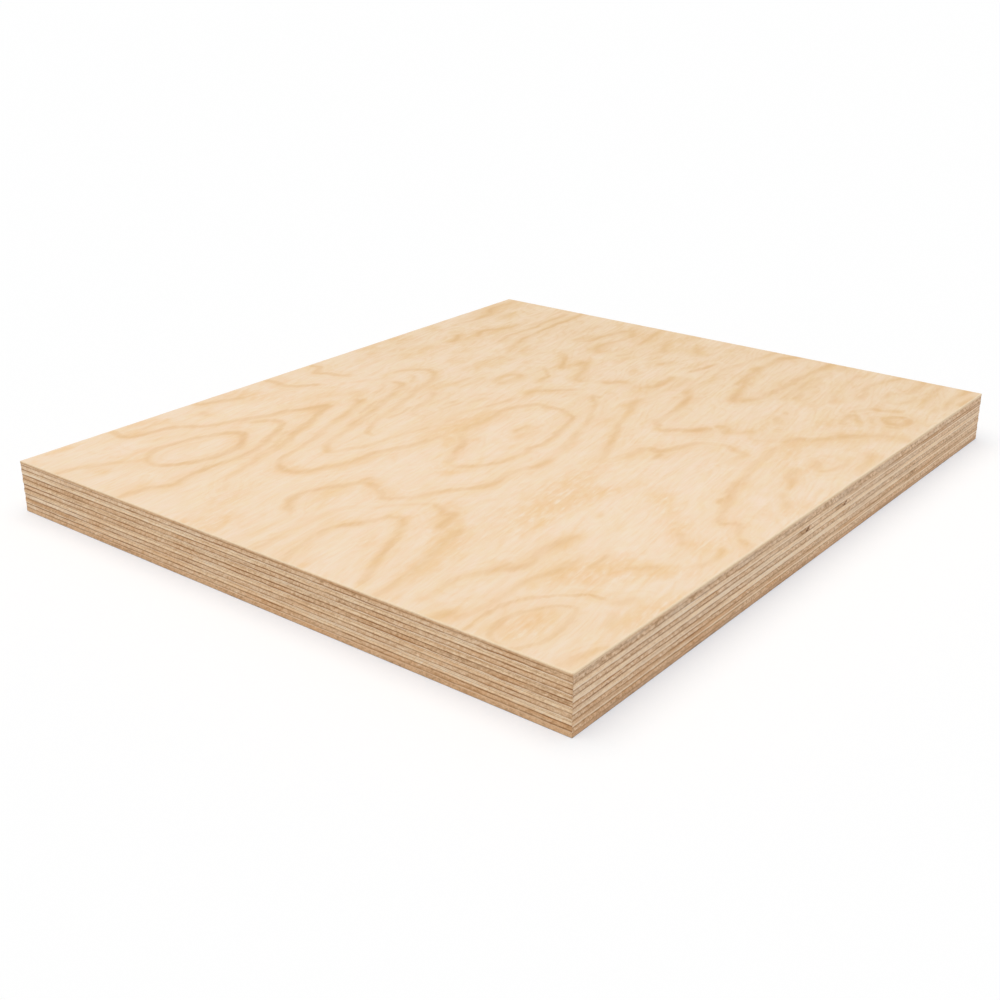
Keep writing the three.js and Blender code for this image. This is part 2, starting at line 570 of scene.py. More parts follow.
edgeLook = {
    # what each part of the grain is made of
    "streaks": {"streak": 0.85, "hair": 0.8},
    "mottles": {"mottle": 1.0, "check": 0.8},
    "everywhere": {"drift": 0.15, "blotch": 0.2},
    "stretchWaver": {"blotch": 3.0, "mottle": 1.0},
    "stretchEnd": 0.4,  # share of its half length that a stretch holds in full
    "flecks": 1.3,
    "otherWay": 0.7,  # what is left of streaks across the grain, and of mottles along it
    "checkLean": 0.9,  # sideways lean of the small checks for each millimetre up
    "longEdgeCalm": 0.75,  # how lively the long edges' grain is beside that of the short ones
    # from where to where in the grain, or in the hue, a tone comes in, and how strong at most
    "comesIn": {"dark": (0.0, -1.4), "light": (0.0, 1.3),
                "warm": (0.05, 1.2, 0.0, 0.55), "cool": (-0.05, -1.2, 0.0, 0.55)},
    "warm": "dfa468",
    "cool": "dccab2",
    "longEdgeTintAndLight": (1.09, 1.12, 1.19, 1.0),  # the long edges are a little cooler, and painted brighter to make up for the dimmer light on them
    # glue lines
    "glue": "985f28",
    "glueReach": (0.5, 0.02),  # half the height of a line, and of its full dark
    "glueMost": 0.95,
    "joints": [0.65, 0.8, 0.9, 0.75, 0.95, 0.75, 0.8, 0.7, 0.8, 0.6],  # how strong, top down
    "patches": {"plus": 0.9, "patchy": 0.7},  # stronger in some stretches than in others
    "longEdgeFade": (-110.0, 20.0, 0.75, 0.3),  # weaker to the right on the long edges
    "waver": {"blotch": 0.22, "mottle": 0.08},
    # where the dark line runs, above its joint: on the short edges, and on the long ones
    "lineOverPale": (0.6, -0.15),
    "lineUnderPale": (-0.22, -0.95),
    "farLeftDrop": (10.0, 170.0, 0.0, 0.5),  # how the lines sink towards the far left
    # the pale of a core veneer, or of an outer one, reaches as far as the line
    "spill": "ffe8c9",
    "spillTop": (0.1, 0.35),
    "spillFoot": (-0.05, -0.3),
    "spillOnLong": 0.7,
    # the dark vein along a core veneer's middle
    "veinReach": 0.35,
    "veinRise": 1.2,
    "veinWaver": {"blotch": 0.3, "drift": 0.2},
    # the top of the face veneer's edge: partly its own pale wood, partly a painted highlight where
    # the arris catches the light
    "arris": "f8e2c0",
    "arrisReach": (0.8, 0.05),  # from how far below the top, and to where
    "arrisHighlightMost": 0.85,
    # painted shade along the sheet's vertical corners, and how near them it comes in
    "paintedCornerShade": (0.86, 0.82, 0.78, 1.0),
    "cornerShadeReach": (1.0, 0.3, 0.0, 0.7),
    "rough": {"plus": 0.84, "shade": -0.05},
    "roughMost": 0.95,
    "height": {"shade": 0.5, "glue": -1.0},
    "relief": (0.5, 0.12),  # how strong and how deep the bumps are
}


def edgeFinish(ply, number):
    tones, look = edgeTones[ply["slot"]], edgeLook
    low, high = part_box(ply["node"])
    material, board, shader = newMaterial(ply["node"] + "_edge", 0.82)
    x, y, z = board.split(millimetres(board))
    # a short edge, not a long one
    onEnd = abs(x) - sheet["length"] / 2 > abs(y) - sheet["width"] / 2
    along = board.blend(x, y, onEnd)
    rise, thick = z - low.z / mm, (high.z - low.z) / mm
    # every edge of every ply has grain of its own
    side = board.blend(board.calc("SIGN", y) * 3.0, board.calc("SIGN", x) * 7.0, onEnd) * 40.0
    grain = board.noises(board.point(along, side + number * 11.0, rise), edgeNoises)
    leaning = board.point(along + rise * look["checkLean"], side + number * 5.0, rise)
    grain["check"] = board.noise(leaning, *checkNoise)

    def betweenEnds(ends):
        left = board.blend(ends[1], ends[0], y / sheet["width"] + 0.5)
        front = board.blend(ends[2], ends[3], x / sheet["length"] + 0.5)
        return board.blend(front, left, onEnd)

    # long grain runs in streaks; end grain is mottled, with small slanted checks
    grainAcross = ply["slot"] == "crossband"
    longWise = onEnd if grainAcross else 1.0 - onEnd
    streaky = board.blend(look["otherWay"], 1.0, longWise) * tones["streak"]
    mottled = board.blend(1.0, look["otherWay"], longWise) * tones["mottle"]
    shade = board.weigh(grain, look["streaks"]) * streaky
    shade = shade + board.weigh(grain, look["mottles"]) * mottled
    shade = shade + board.weigh(grain, look["everywhere"])
    shade = shade * board.blend(look["longEdgeCalm"], 1.0, onEnd)
    shade = shade + grain["fleck"] * look["flecks"] * mottled + betweenEnds(ply["shades"])
    for edge, middle, reach, change in ply.get("stretches", []):
        wavering = abs(along - middle) + board.weigh(grain, look["stretchWaver"])
        here = board.ramp(wavering, reach, reach * look["stretchEnd"])
        onSide = onEnd * (x < 0.0) if edge == "left" else (1.0 - onEnd) * (y < 0.0)
        shade = shade + here * onSide * change
    hue = grain["hue"] + betweenEnds(ply["warmth"])
    tone = tones["own"]
    for name, value in (("dark", shade), ("light", shade), ("warm", hue), ("cool", hue)):
        share = board.slope(value, *look["comesIn"][name])
        tone = board.paint(tone, tones[name] if name in tones else look[name], share)

    # glue lines, and the pale that spreads into a crossband
    strong = board.most(board.weigh(grain, look["patches"]), 0.0)
    strong = strong * board.blend(board.ramp(x, *look["longEdgeFade"]), 1.0, onEnd)
    waver = board.weigh(grain, look["waver"]) + board.ramp(y, *look["farLeftDrop"]) * onEnd
    over, under = (board.blend(look[name][1], look[name][0], onEnd)
                   for name in ("lineOverPale", "lineUnderPale"))
    upperPlace, lowerPlace = (under, over) if grainAcross else (over, under)
    topGap, footGap = rise - thick - upperPlace + waver, rise - lowerPlace + waver
    joints = [0.0] + look["joints"] + [0.0]
    upper = board.ramp(abs(topGap), *look["glueReach"]) * joints[number - 1]
    lower = board.ramp(abs(footGap), *look["glueReach"]) * joints[number]
    glue = board.least(board.most(upper, lower) * strong, look["glueMost"])
    if grainAcross:
        atTop, atFoot = ply.get("spill", (1.0, 1.0))
        spill = board.most(board.ramp(topGap, *look["spillTop"]) * atTop,
                           board.ramp(footGap, *look["spillFoot"]) * atFoot)
        spill = spill * board.blend(look["spillOnLong"], 1.0, onEnd)
        tone = board.paint(tone, look["spill"], spill)
    offVein = abs(rise - look["veinRise"] + board.weigh(grain, look["veinWaver"]))
    vein = board.ramp(offVein, look["veinReach"], 0.0) * onEnd * tones["vein"]
    tone = board.paint(tone, look["glue"], board.most(glue, vein))
    # the long edges: a cooler tint, with painted light that brightens them
    tone = board.paint(tone, look["longEdgeTintAndLight"], 1.0 - onEnd, "MULTIPLY")
    # painted highlight along the top arris of the face veneer's edge, over its pale wood
    if ply["slot"] == "face_veneer":
        start, end = (thick - below for below in look["arrisReach"])
        wornAndHighlight = board.ramp(rise, start, end, 0.0, look["arrisHighlightMost"])
        tone = board.paint(tone, look["arris"], wornAndHighlight)
    # painted shade darkens the edges within a millimetre of the sheet's vertical corners
    toCorner = board.most(sheet["length"] / 2 - abs(x), sheet["width"] / 2 - abs(y))
    corner = board.ramp(toCorner, *look["cornerShadeReach"])
    tone = board.paint(tone, look["paintedCornerShade"], corner, "MULTIPLY")
    grain["shade"], grain["glue"] = shade, glue
    rough = board.least(board.weigh(grain, look["rough"]), look["roughMost"])
    finish(shader, tone, rough, board.weigh(grain, look["height"]), look["relief"])
    return material


# The face's figure. Late wood shows as lines: half width, then points from the sheet's middle,
# where a third number sets how dark the line is from there on.
ringLines = [
    # the long ovals at the far left
    (1.5, [(-90, 100, 0.95), (-96, 106, 0.85), (-105, 110), (-115, 113, 0.8), (-128, 114),
        (-138, 109, 0.6), (-142, 102, 0.5), (-140, 97, 0.8), (-133, 91, 0.85), (-123, 87),
        (-113, 86), (-103, 88, 0.85), (-95, 94, 0.95), (-90, 100, 0.95)]),
    (1.6, [(-175, 125, 0.7), (-168, 124), (-162, 121, 0.7), (-157, 119), (-150, 115, 0.5),
        (-143, 110, 0.3)]),
    (1.5, [(-152, 92, 0.15), (-158, 89, 0.25), (-165, 88), (-175, 87, 0.3)]),
    (1.5, [(-175, 82, 0.6), (-162, 81, 0.75), (-155, 77), (-150, 75, 0.8), (-145, 77),
        (-135, 78.5, 0.85), (-118, 77.5, 0.75), (-107, 78), (-95, 81, 0.75), (-85, 86), (-75, 91),
        (-69, 96, 0.8), (-69, 101, 0.85), (-74, 105, 0.7), (-80, 110, 0.45), (-90, 115, 0.35),
        (-103, 118), (-116, 122), (-129, 127, 0.35)]),
    (1.6, [(-127, 148, 0.8), (-127, 138, 0.85), (-122, 135), (-112, 133, 0.8), (-103, 129),
        (-97, 122), (-88, 117.5), (-77, 113, 0.8), (-67, 108), (-58, 106, 0.8), (-53, 103.5),
        (-46, 100), (-39, 96.5, 0.95), (-43, 94, 0.95), (-53, 90, 0.85), (-62, 85), (-75, 81, 0.75),
        (-85, 75.5), (-95, 72, 0.65), (-108, 69.5, 0.55), (-120, 66), (-132, 63, 0.45), (-138, 57),
        (-143, 51, 0.4)]),
    (1.5, [(-20, 92, 0.5), (-24, 88.5, 0.85), (-32, 84, 0.6), (-44, 79), (-55, 76), (-68, 71),
        (-82, 66), (-95, 63, 0.6), (-104, 59.5, 0.7), (-109, 55, 0.85), (-111, 49, 0.8),
        (-108, 43, 0.8), (-100, 39.5, 0.7), (-90, 35.5, 0.65), (-80, 34), (-72, 33.5, 0.75),
        (-67, 32), (-60, 29, 0.6), (-55, 27), (-48, 26, 0.6), (-42, 24.5, 0.5), (-34, 24, 0.35)]),
    (1.4, [(-20, 92, 0.4), (-15, 97, 0.3), (-19, 101), (-28, 106, 0.35), (-38, 110),
        (-47, 112, 0.3)]),
    (1.4, [(-119, 140, 0.5), (-111, 141.5), (-105, 142, 0.5)]),
    # the far edge
    (2.0, [(-84, 139, 0.5), (-83, 133, 0.65), (-82, 128, 0.4)]),
    (1.5, [(-77, 148, 0.85), (-72, 144.5), (-65, 142), (-60, 139.5), (-54, 137, 0.7)]),
    (1.6, [(-31, 148, 0.8), (-28.5, 142, 0.75), (-30, 137.5), (-28, 131), (-22, 126),
        (-17, 121.5, 0.7)]),
    (1.5, [(2.5, 148, 0.8), (3, 143.5), (-2, 140, 0.85), (-5, 137.5, 0.9), (-2, 132, 0.8),
        (-1, 127.5), (1, 123.5), (4, 119, 0.6)]),
    (1.4, [(126, 137, 0.6), (132, 138, 0.65), (138, 137.5), (141, 139, 0.6)]),
    (1.4, [(157, 144, 0.55), (165, 143), (175, 143.5, 0.6)]),
    (1.5, [(133, 123.5, 0.55), (142, 127), (152, 129.5, 0.6)]),
    # long lines across the middle of the far half
    (1.4, [(6, 98, 0.6), (9, 94, 0.65), (8, 89), (0, 85, 0.6), (-12, 80.5), (-23, 76.5, 0.75),
        (-27, 74.5), (-35, 72, 0.65), (-47, 69, 0.7), (-56, 65, 0.6), (-66, 62), (-75, 59),
        (-80, 56), (-83, 52, 0.6), (-80, 48, 0.45), (-75, 46.5), (-69, 43, 0.6), (-62, 42),
        (-55, 41.5), (-42, 40, 0.5), (-36, 40.5), (-23, 39), (-5, 37, 0.4), (7, 33.5, 0.4)]),
    (1.35, [(-5, 111, 0.3), (-1, 109, 0.4), (6, 104.5), (11, 103.5), (16, 106, 0.35), (22, 105.5),
        (27, 103.5), (32, 99.5, 0.65), (35, 95, 0.7), (34, 91), (28, 85, 0.55), (20, 81),
        (10, 78.5), (2, 76.5, 0.45), (-5, 73), (-20, 68), (-31, 64.5, 0.4), (-42, 61, 0.5),
        (-49, 58), (-54, 55, 0.65), (-55.5, 51, 0.5), (-52, 48.5, 0.3), (-40, 46.5, 0.2), (-20, 45),
        (0, 43.5, 0.4), (8, 43.5, 0.5), (13, 42.5, 0.55), (20, 39.5, 0.3)]),
    (1.4, [(11, 69, 0.8), (4, 65.5, 0.6), (-2, 62.5), (-10, 60.5, 0.55), (-18, 57.5),
        (-22, 54, 0.5), (-19, 52, 0.4)]),
    (1.2, [(23, 70, 0.4), (32, 69), (41, 69, 0.35)]),
    (1.5, [(40, 52.5, 0.45), (44, 56), (52, 56.5, 0.45), (57.5, 53, 0.65), (56, 49.5, 0.6),
        (49, 48.5, 0.35), (42, 49.5, 0.4), (40, 52.5, 0.45)]),
    (1.3, [(112, 139, 0.2), (122, 137, 0.4), (133, 137.5, 0.6), (141, 139, 0.7), (146, 142.5, 0.8),
        (152, 145.5, 0.7), (163, 145, 0.4), (175, 145.5, 0.35)]),
    (1.2, [(80, 118, 0.4), (87, 119.5, 0.7), (93, 124, 0.6), (97, 126, 0.3)]),
    (1.2, [(98, 113, 0.3), (104, 117, 0.6), (110, 118, 0.6), (118, 114, 0.5), (126, 111, 0.45),
        (136, 111, 0.2)]),
    (1.2, [(82, 80, 0.2), (92, 84, 0.4), (102, 86.5, 0.4), (112, 85, 0.2)]),
    (1.2, [(78, 40, 0.5), (86, 44.5, 0.6), (94, 49, 0.5), (101, 53.5, 0.4)]),
    (1.4, [(112, 41, 0.4), (118, 44, 0.5), (124, 48, 0.6), (134, 47.5, 0.45), (146, 44, 0.3),
        (154, 45, 0.5), (161, 50, 0.6), (168, 54, 0.4)]),
    (1.2, [(138, 31, 0.2), (146, 33, 0.5), (155, 34, 0.6), (164, 36.5, 0.5), (175, 37, 0.4)]),
    (1.2, [(126, 61, 0.3), (131, 57.5, 0.4), (140, 58, 0.45), (150, 55, 0.5), (160, 53, 0.4)]),
    (1.1, [(-36, 60.5, 0.35), (-26, 60, 0.4), (-14, 62.5, 0.35)]),
    (1.1, [(-30, 42.5, 0.3), (-22, 47.5, 0.3), (-8, 48, 0.4), (6, 47.5, 0.4)]),
    (1.2, [(-11, 50, 0.4), (-2, 51.5, 0.5), (7, 50.5, 0.55)]),
    (1.2, [(5, 34, 0.35), (18, 31.5, 0.45), (31, 29.5, 0.4)]),
    (1.1, [(22, 62.5, 0.3), (35, 62.5, 0.4), (46, 64, 0.35)]),
    (1.1, [(-8, 58, 0.25), (4, 57, 0.35), (17, 60.5, 0.3)]),
    (1.1, [(-45, 38, 0.3), (-30, 36.5, 0.35), (-12, 34, 0.35)]),
    (1.1, [(-95, 79, 0.3), (-84, 81.5, 0.4), (-74, 86.5, 0.35)]),
    (1.0, [(-110, 72.5, 0.3), (-96, 75, 0.4), (-84, 79, 0.3)]),
    (1.1, [(-40, 75, 0.35), (-28, 79, 0.4), (-16, 82, 0.3)]),
    (1.1, [(-60, 62, 0.3), (-45, 66.5, 0.4), (-30, 69.5, 0.3)]),
    (1.1, [(-12, 90, 0.3), (-2, 93, 0.4), (4, 98, 0.3)]),
    (1.1, [(12, 88, 0.3), (20, 91.5, 0.35), (23, 97, 0.3)]),
    (1.2, [(97, 97.5, 0.5), (106, 99, 0.55), (112, 101), (123, 100, 0.4), (135, 99.5, 0.55),
        (141, 101), (148, 101), (158, 100.5), (169, 100.5, 0.5)]),
    (1.3, [(101, 87, 0.6), (107, 89), (112, 90.5, 0.6), (122, 91, 0.5), (131, 92, 0.7), (140, 92.5),
        (148, 93, 0.75), (161, 92.5, 0.65), (175, 94, 0.6)]),
    (1.5, [(143, 57.5, 0.6), (148, 55.5, 0.75), (155, 54.5), (162, 53.5, 0.65)]),
    # the wave from the left edge to the right of the eye
    (1.6, [(-175, 12, 0.25), (-160, 11.5), (-148, 11.5, 0.3), (-142, 14, 0.4), (-138, 19, 0.7),
        (-135, 21.5, 0.8), (-132, 24), (-127, 25.5, 0.8), (-122, 25.5), (-116, 23, 0.75),
        (-108, 18.5), (-101, 15, 0.6), (-99, 11), (-100, 5), (-103, 0, 0.65), (-107, -4, 0.7),
        (-104, -9, 0.6), (-98, -14.5), (-91, -17.5), (-82, -22, 0.65), (-77, -26),
        (-71, -29.5, 0.7), (-64, -30.5), (-55, -28.5, 0.5), (-46, -30.5, 0.6), (-41, -32.5, 0.75),
        (-35, -33.5, 0.8), (-27, -32.5, 0.5), (-17, -30, 0.4), (-5, -27, 0.5), (4, -23.5, 0.65),
        (12, -21, 0.4), (21, -17.5, 0.55), (30, -13), (38, -8.5, 0.5), (44, -5.5, 0.6),
        (49, -1, 0.8), (51, 0.5, 0.85), (57, 1.5, 0.5)]),
    (1.4, [(-101, 15.5, 0.5), (-96, 14.5, 0.65), (-92, 11, 0.4)]),
    (1.3, [(50, -3, 0.5), (55, -2, 0.55), (58, -1, 0.4)]),
    (1.5, [(58, 14, 0.5), (55, 16, 0.6), (50, 20.5), (46, 25, 0.85), (43, 28, 0.75), (39, 30, 0.6),
        (31, 29.5, 0.45)]),
    (1.3, [(50, 36, 0.5), (57, 37), (65, 39, 0.6), (69, 42, 0.5), (73, 46, 0.4), (77, 50, 0.3)]),
    # the oval at the left edge
    (1.4, [(-175, 0.5, 0.65), (-168, 0.5, 0.6), (-155, 1.5, 0.3), (-140, 2), (-134, 1.5, 0.4),
        (-126, 1), (-121, -2, 0.35), (-117, -7, 0.3), (-110, -13.5, 0.45), (-103, -20.5),
        (-99.5, -26, 0.55), (-101, -31.5, 0.6), (-104, -35), (-101.5, -38, 0.75),
        (-108, -40.5, 0.65), (-115, -42.5, 0.7), (-118, -43.5, 0.6)]),
    (1.5, [(-175, -15, 0.65), (-168, -13.5, 0.6), (-160, -10.5), (-150, -9), (-142, -9, 0.6),
        (-137, -11, 0.8), (-131, -15, 0.8), (-124, -17.5, 0.65), (-119, -20), (-118, -24.5, 0.75),
        (-122, -29, 0.65), (-130, -33.5), (-138, -37, 0.75), (-147, -41.5, 0.85), (-155, -45, 0.65),
        (-163, -49, 0.6), (-172, -52.5, 0.55)]),
    # the eye in the middle, and its heart
    (1.5, [(-58, 1, 0.5), (-52, 4, 0.6), (-47, 6.5, 0.85), (-42, 8, 0.95), (-37, 10.5, 0.7),
        (-33, 14, 0.5), (-30, 19), (-22, 21.5, 0.6), (-14, 21.5), (-6, 22, 0.75), (1, 22.5, 0.8),
        (6, 24), (12, 23, 0.7), (18, 20.5), (22, 18.5), (26, 16, 0.65), (26, 11), (27, 5),
        (26, 1, 0.65), (23, -5, 0.7), (21, -8.5, 0.9), (16, -10.5, 0.75), (8, -13.5), (0, -16, 0.7),
        (-10, -18), (-17, -19), (-24, -17.5, 0.65), (-29, -19, 0.45), (-36, -19.5),
        (-43, -18, 0.75), (-48, -16.5, 0.8), (-54, -13, 0.7), (-59, -9.5, 0.7), (-63, -6, 0.4),
        (-61, -2, 0.3), (-58, 1, 0.5)]),
    (1.7, [(-20, -3, 0.25), (-15, -6, 0.4), (-8, -7), (-1, -4.5, 0.3)]),
    (1.3, [(-15, -0.5, 0.2), (-7, 1.5, 0.35), (2, 0.5, 0.25)]),
    # below the eye, running to the right edge
    (1.5, [(-22, -51, 0.4), (-15, -50, 0.5), (-7, -47, 0.6), (0, -44.5), (5, -42, 0.75),
        (9, -40, 0.85), (15, -37.5, 0.75), (20, -35, 0.8), (24, -33, 0.7), (28, -31, 0.45),
        (40, -27, 0.3), (46, -24.5, 0.5), (53, -21.5, 0.7), (59, -19.5, 0.75), (66, -21.5, 0.5),
        (75, -21.5, 0.35), (86, -22.5), (94, -22.5, 0.5), (102, -21.5), (109, -20.5, 0.45)]),
    (1.6, [(29, -50.5, 0.6), (33, -49, 0.8), (37, -46.5, 0.85), (40, -44, 0.75), (48, -43.5, 0.5),
        (56, -42.5, 0.75), (63, -41.5, 0.7), (70, -40), (76, -38.5, 0.95), (80, -37, 0.8),
        (84, -34.5, 0.65), (90, -31, 0.5), (100, -30.5, 0.45), (112, -32, 0.5), (121, -30),
        (130, -28.5, 0.5), (137, -29, 0.4), (147, -31.5, 0.3), (158, -33, 0.45), (166, -34, 0.5),
        (175, -35, 0.8)]),
    (1.5, [(86, 38, 0.5), (95, 37, 0.8), (93, 34, 0.7), (88, 31.5, 0.6), (80, 28.5, 0.5),
        (74, 26.5), (70, 23, 0.75), (69, 20.5, 0.65), (71, 17.5, 0.5), (74, 12, 0.35),
        (74.5, 8, 0.7), (79, 4.5, 0.7), (81, 1.5, 0.5), (80, -3, 0.3), (77, -8, 0.5)]),
    (1.7, [(79, -12, 0.75), (85, -14), (89, -15, 0.85), (93, -14, 0.7), (98, -15, 0.6),
        (102, -13.5, 0.7), (107, -12, 0.5)]),
    (1.2, [(114, -16, 0.5), (121, -17), (128, -18.5, 0.6), (138, -20, 0.4)]),
    (1.2, [(114, 31, 0.5), (119, 28, 0.45), (125, 27.5), (131, 28.5, 0.4)]),
    (1.5, [(134, 15, 0.65), (139.5, 14, 0.75), (143, 17, 0.6), (149, 21, 0.65), (155, 21.5, 0.55),
        (161, 23.5, 0.5)]),
    (1.4, [(115, 4.5, 0.6), (119, 3), (124, 1.5, 0.6), (129, 1, 0.35)]),
    (1.5, [(139, -4.5, 0.4), (144, -3, 0.5), (148, -1, 0.75), (152, 1.5, 0.6), (157, 4, 0.5)]),
    # the tongue at the right edge, and the lines under it
    (1.6, [(85, -59.5, 0.5), (89, -57, 0.8), (93, -55.5, 0.95), (98, -53.5, 0.8), (105, -52, 0.7),
        (110, -51), (116, -48, 0.85), (123, -45.5), (130, -44.5, 0.75), (138, -42.5, 0.7),
        (143, -41.5, 0.8), (149, -43, 0.5), (155, -43, 0.7), (163, -42.5), (168, -44.5, 0.9),
        (175, -49, 0.95)]),
    (1.3, [(110, -49, 0.5), (114, -45.5, 0.6), (120, -44.5), (127, -43, 0.6)]),
    (1.5, [(112, -51.5, 0.6), (118, -50.5, 0.7), (123, -49.5, 0.4)]),
    (1.6, [(89, -59.5, 0.5), (94, -62, 0.75), (101, -65, 0.8), (107, -66), (112, -66.5, 0.85),
        (121, -67, 0.8), (127, -66.5), (132, -67.5, 0.85), (137, -66.5, 0.8), (150, -67, 0.7),
        (159, -67.5), (164, -68, 0.85), (169, -68.5, 0.95), (175, -68, 0.9)]),
    (1.5, [(102, -78, 0.45), (106, -76, 0.6), (110, -74, 0.65), (116, -74, 0.5), (124, -74),
        (132, -73), (142, -73, 0.6), (149, -74, 0.5), (156, -76, 0.3)]),
    (1.4, [(107, -79.5, 0.6), (112, -79.5, 0.7), (118, -78.5), (124, -77.5, 0.45), (134, -78.5),
        (145, -79, 0.4)]),
    (1.5, [(163, -77.5, 0.4), (169, -76.5, 0.55), (175, -76, 0.6)]),
    (1.7, [(70, -92, 0.5), (74, -89.5, 0.7), (79, -87, 0.7), (84, -86, 0.5)]),
    (1.2, [(85, -87.5, 0.45), (93, -84, 0.35)]),
    (1.5, [(113, -98.5, 0.3), (118, -96, 0.55), (123, -95, 0.6), (130, -92.5, 0.5), (137, -91, 0.4),
        (148, -89.5), (156, -88.5, 0.5), (161, -89, 0.6), (167, -91, 0.4)]),
    (1.5, [(126, -105.5, 0.4), (132, -104.5, 0.55), (139, -103.5), (144, -101.5, 0.75),
        (149, -100.5, 0.6), (156, -101, 0.5), (162, -103), (168, -105.5, 0.65),
        (175, -108.5, 0.8)]),
    # around the pin knot
    (1.4, [(95, -116, 0.5), (91.5, -114, 0.65), (94, -112.5, 0.5), (101, -111.5), (107, -112, 0.7),
        (105, -114.5, 0.65), (101, -117), (97, -119.5, 0.75)]),
    (1.5, [(107, -111.5, 0.6), (113, -111.5, 0.45), (118, -114.5, 0.4), (120.5, -118, 0.65),
        (120, -122, 0.45), (123, -126, 0.6), (125.5, -128.5, 0.75)]),
    (1.4, [(136, -117.5, 0.5), (133, -120.5), (134, -123, 0.45), (139, -125, 0.65), (144, -125.5),
        (152, -124.5, 0.45)]),
    (1.4, [(137, -113, 0.5), (142, -113.5, 0.6), (147, -112, 0.4)]),
    (1.6, [(149, -120.5, 0.5), (158, -121, 0.65), (166, -120.5), (175, -119.5, 0.7)]),
    (1.4, [(133, -136, 0.35), (140, -134, 0.4), (147, -132, 0.75), (154, -131), (162, -129.5, 0.65),
        (175, -129.5, 0.5)]),
    (1.5, [(137, -146, 0.4), (141, -144, 0.55), (148, -142.5, 0.65), (157, -141.5),
        (165, -142.5, 0.75), (175, -143, 0.85)]),
    (1.4, [(131, -142, 0.4), (137, -141, 0.55), (143, -140, 0.5)]),
    (1.8, [(151, -149, 0.8), (158, -148.5, 0.85), (165, -149.5, 0.7)]),
    (1.4, [(110, -127, 0.9), (115, -129), (116.5, -133.5, 1.0), (112.5, -137.5), (107, -136),
        (105, -131.5, 0.9), (110, -127, 0.9)]),
    (1.2, [(101, -130, 0.4), (101.5, -134.5, 0.5), (105, -139, 0.4)]),
    (1.2, [(100, -126.5, 0.35), (104, -123), (110, -121.5, 0.35)]),
    # the near left, with its own eye
    (1.6, [(-175, -63, 0.6), (-163, -62), (-153, -60.5, 0.55), (-147, -58.5, 0.6), (-139, -57),
        (-132, -55, 0.5), (-126, -53), (-117, -51.5, 0.55), (-110, -50, 0.5)]),
    (1.6, [(-170, -77.5, 0.3), (-160, -77.5, 0.4), (-153, -77.5), (-146, -76.5, 0.65),
        (-140, -79, 0.5), (-135, -81.5, 0.65), (-131, -83, 0.75), (-127, -83.5),
        (-122, -83.5, 0.6)]),
    (1.7, [(-132, -83.5, 0.6), (-128, -86, 0.7), (-124, -88.5), (-119, -89.5, 0.7),
        (-112, -88, 0.65), (-105, -87, 0.75), (-97, -88, 0.8), (-91, -88.5, 0.7),
        (-86, -89.5, 0.4)]),
    (1.2, [(-70, -86, 0.3), (-63, -84, 0.35)]),
    (1.8, [(-175, -89, 0.6), (-170, -90.5, 0.65), (-163, -92, 0.55)]),
    (1.4, [(-172, -95, 0.45), (-163, -97.5, 0.4), (-155, -98.5), (-143, -98), (-133, -97.5, 0.55),
        (-126, -99, 0.5), (-119, -101, 0.65), (-113, -101), (-105, -101.5, 0.45),
        (-98, -100.5, 0.35)]),
    (1.0, [(-111, -109.5, 0.4), (-104, -109, 0.45), (-93, -108.5, 0.4)]),
    (1.6, [(-101, -119, 0.4), (-98, -124, 0.45), (-94, -127.5, 0.6), (-90.5, -129.5, 0.6)]),
    (1.2, [(-84, -136, 0.4), (-80, -135, 0.4)]),
    (1.4, [(-88, -138, 0.35), (-83, -139.5, 0.45), (-78, -141.5, 0.55), (-72, -142),
        (-67, -140.5, 0.7), (-62, -138, 0.6)]),
    (1.6, [(-72, -127, 0.5), (-66, -122.5), (-60, -118.5, 0.55)]),
    (1.0, [(-175, -103, 0.4), (-163, -102, 0.5), (-150, -103, 0.6), (-145, -105),
        (-140, -107.5, 0.5), (-136, -111, 0.35), (-131, -116, 0.4), (-127, -120.5, 0.6),
        (-126, -125, 0.5), (-125, -129, 0.6)]),
    (1.6, [(-131, -131.5, 0.4), (-126, -133.5, 0.6), (-122, -135.5, 0.5), (-117, -137.5, 0.6)]),
    (1.5, [(-131, -134, 0.3), (-134, -137, 0.45), (-139, -139.5, 0.5), (-145, -141.5, 0.4)]),
    (1.6, [(-175, -142.5, 0.45), (-170, -143.5), (-164, -145, 0.65), (-158, -146.5),
        (-154, -149.5, 0.5)]),
    (1.3, [(-175, -119, 0.4), (-173, -114.5), (-169, -111, 0.55), (-164, -110, 0.65),
        (-156, -110, 0.6), (-150, -111.5, 0.5), (-144, -115.5, 0.45), (-139.5, -119.5, 0.4),
        (-138, -123.5), (-142, -126.5, 0.35), (-150, -129, 0.4), (-160, -129.5, 0.4), (-168, -128),
        (-172, -125.5, 0.45), (-175, -124, 0.5)]),
    # the near middle
    (1.6, [(-14, -54.5, 0.35), (-6, -57, 0.5), (1, -58), (6, -58.5, 0.7), (8, -61, 0.6),
        (7.5, -64.5), (9.5, -66.5, 0.75), (15, -68.5, 0.6), (20, -70.5, 0.65), (26, -72.5, 0.55),
        (30, -76, 0.35), (32, -82, 0.25), (32, -88, 0.5), (30, -92, 0.45), (28, -97, 0.5),
        (20, -97.5, 0.4), (11, -97.5, 0.35)]),
    (1.3, [(-3, -69.5, 0.3), (3, -68.5, 0.6), (8, -67.5, 0.6)]),
    (2.2, [(30, -50.5, 0.6), (34, -54, 0.85), (37, -58, 0.75), (39, -61.5, 0.8), (42, -65, 0.95),
        (46, -66.5, 0.8), (50, -68, 0.7)]),
    (1.8, [(50, -68, 0.6), (54, -71.5), (52, -74), (48, -76.5, 0.6), (49, -80, 0.4), (53, -84, 0.5),
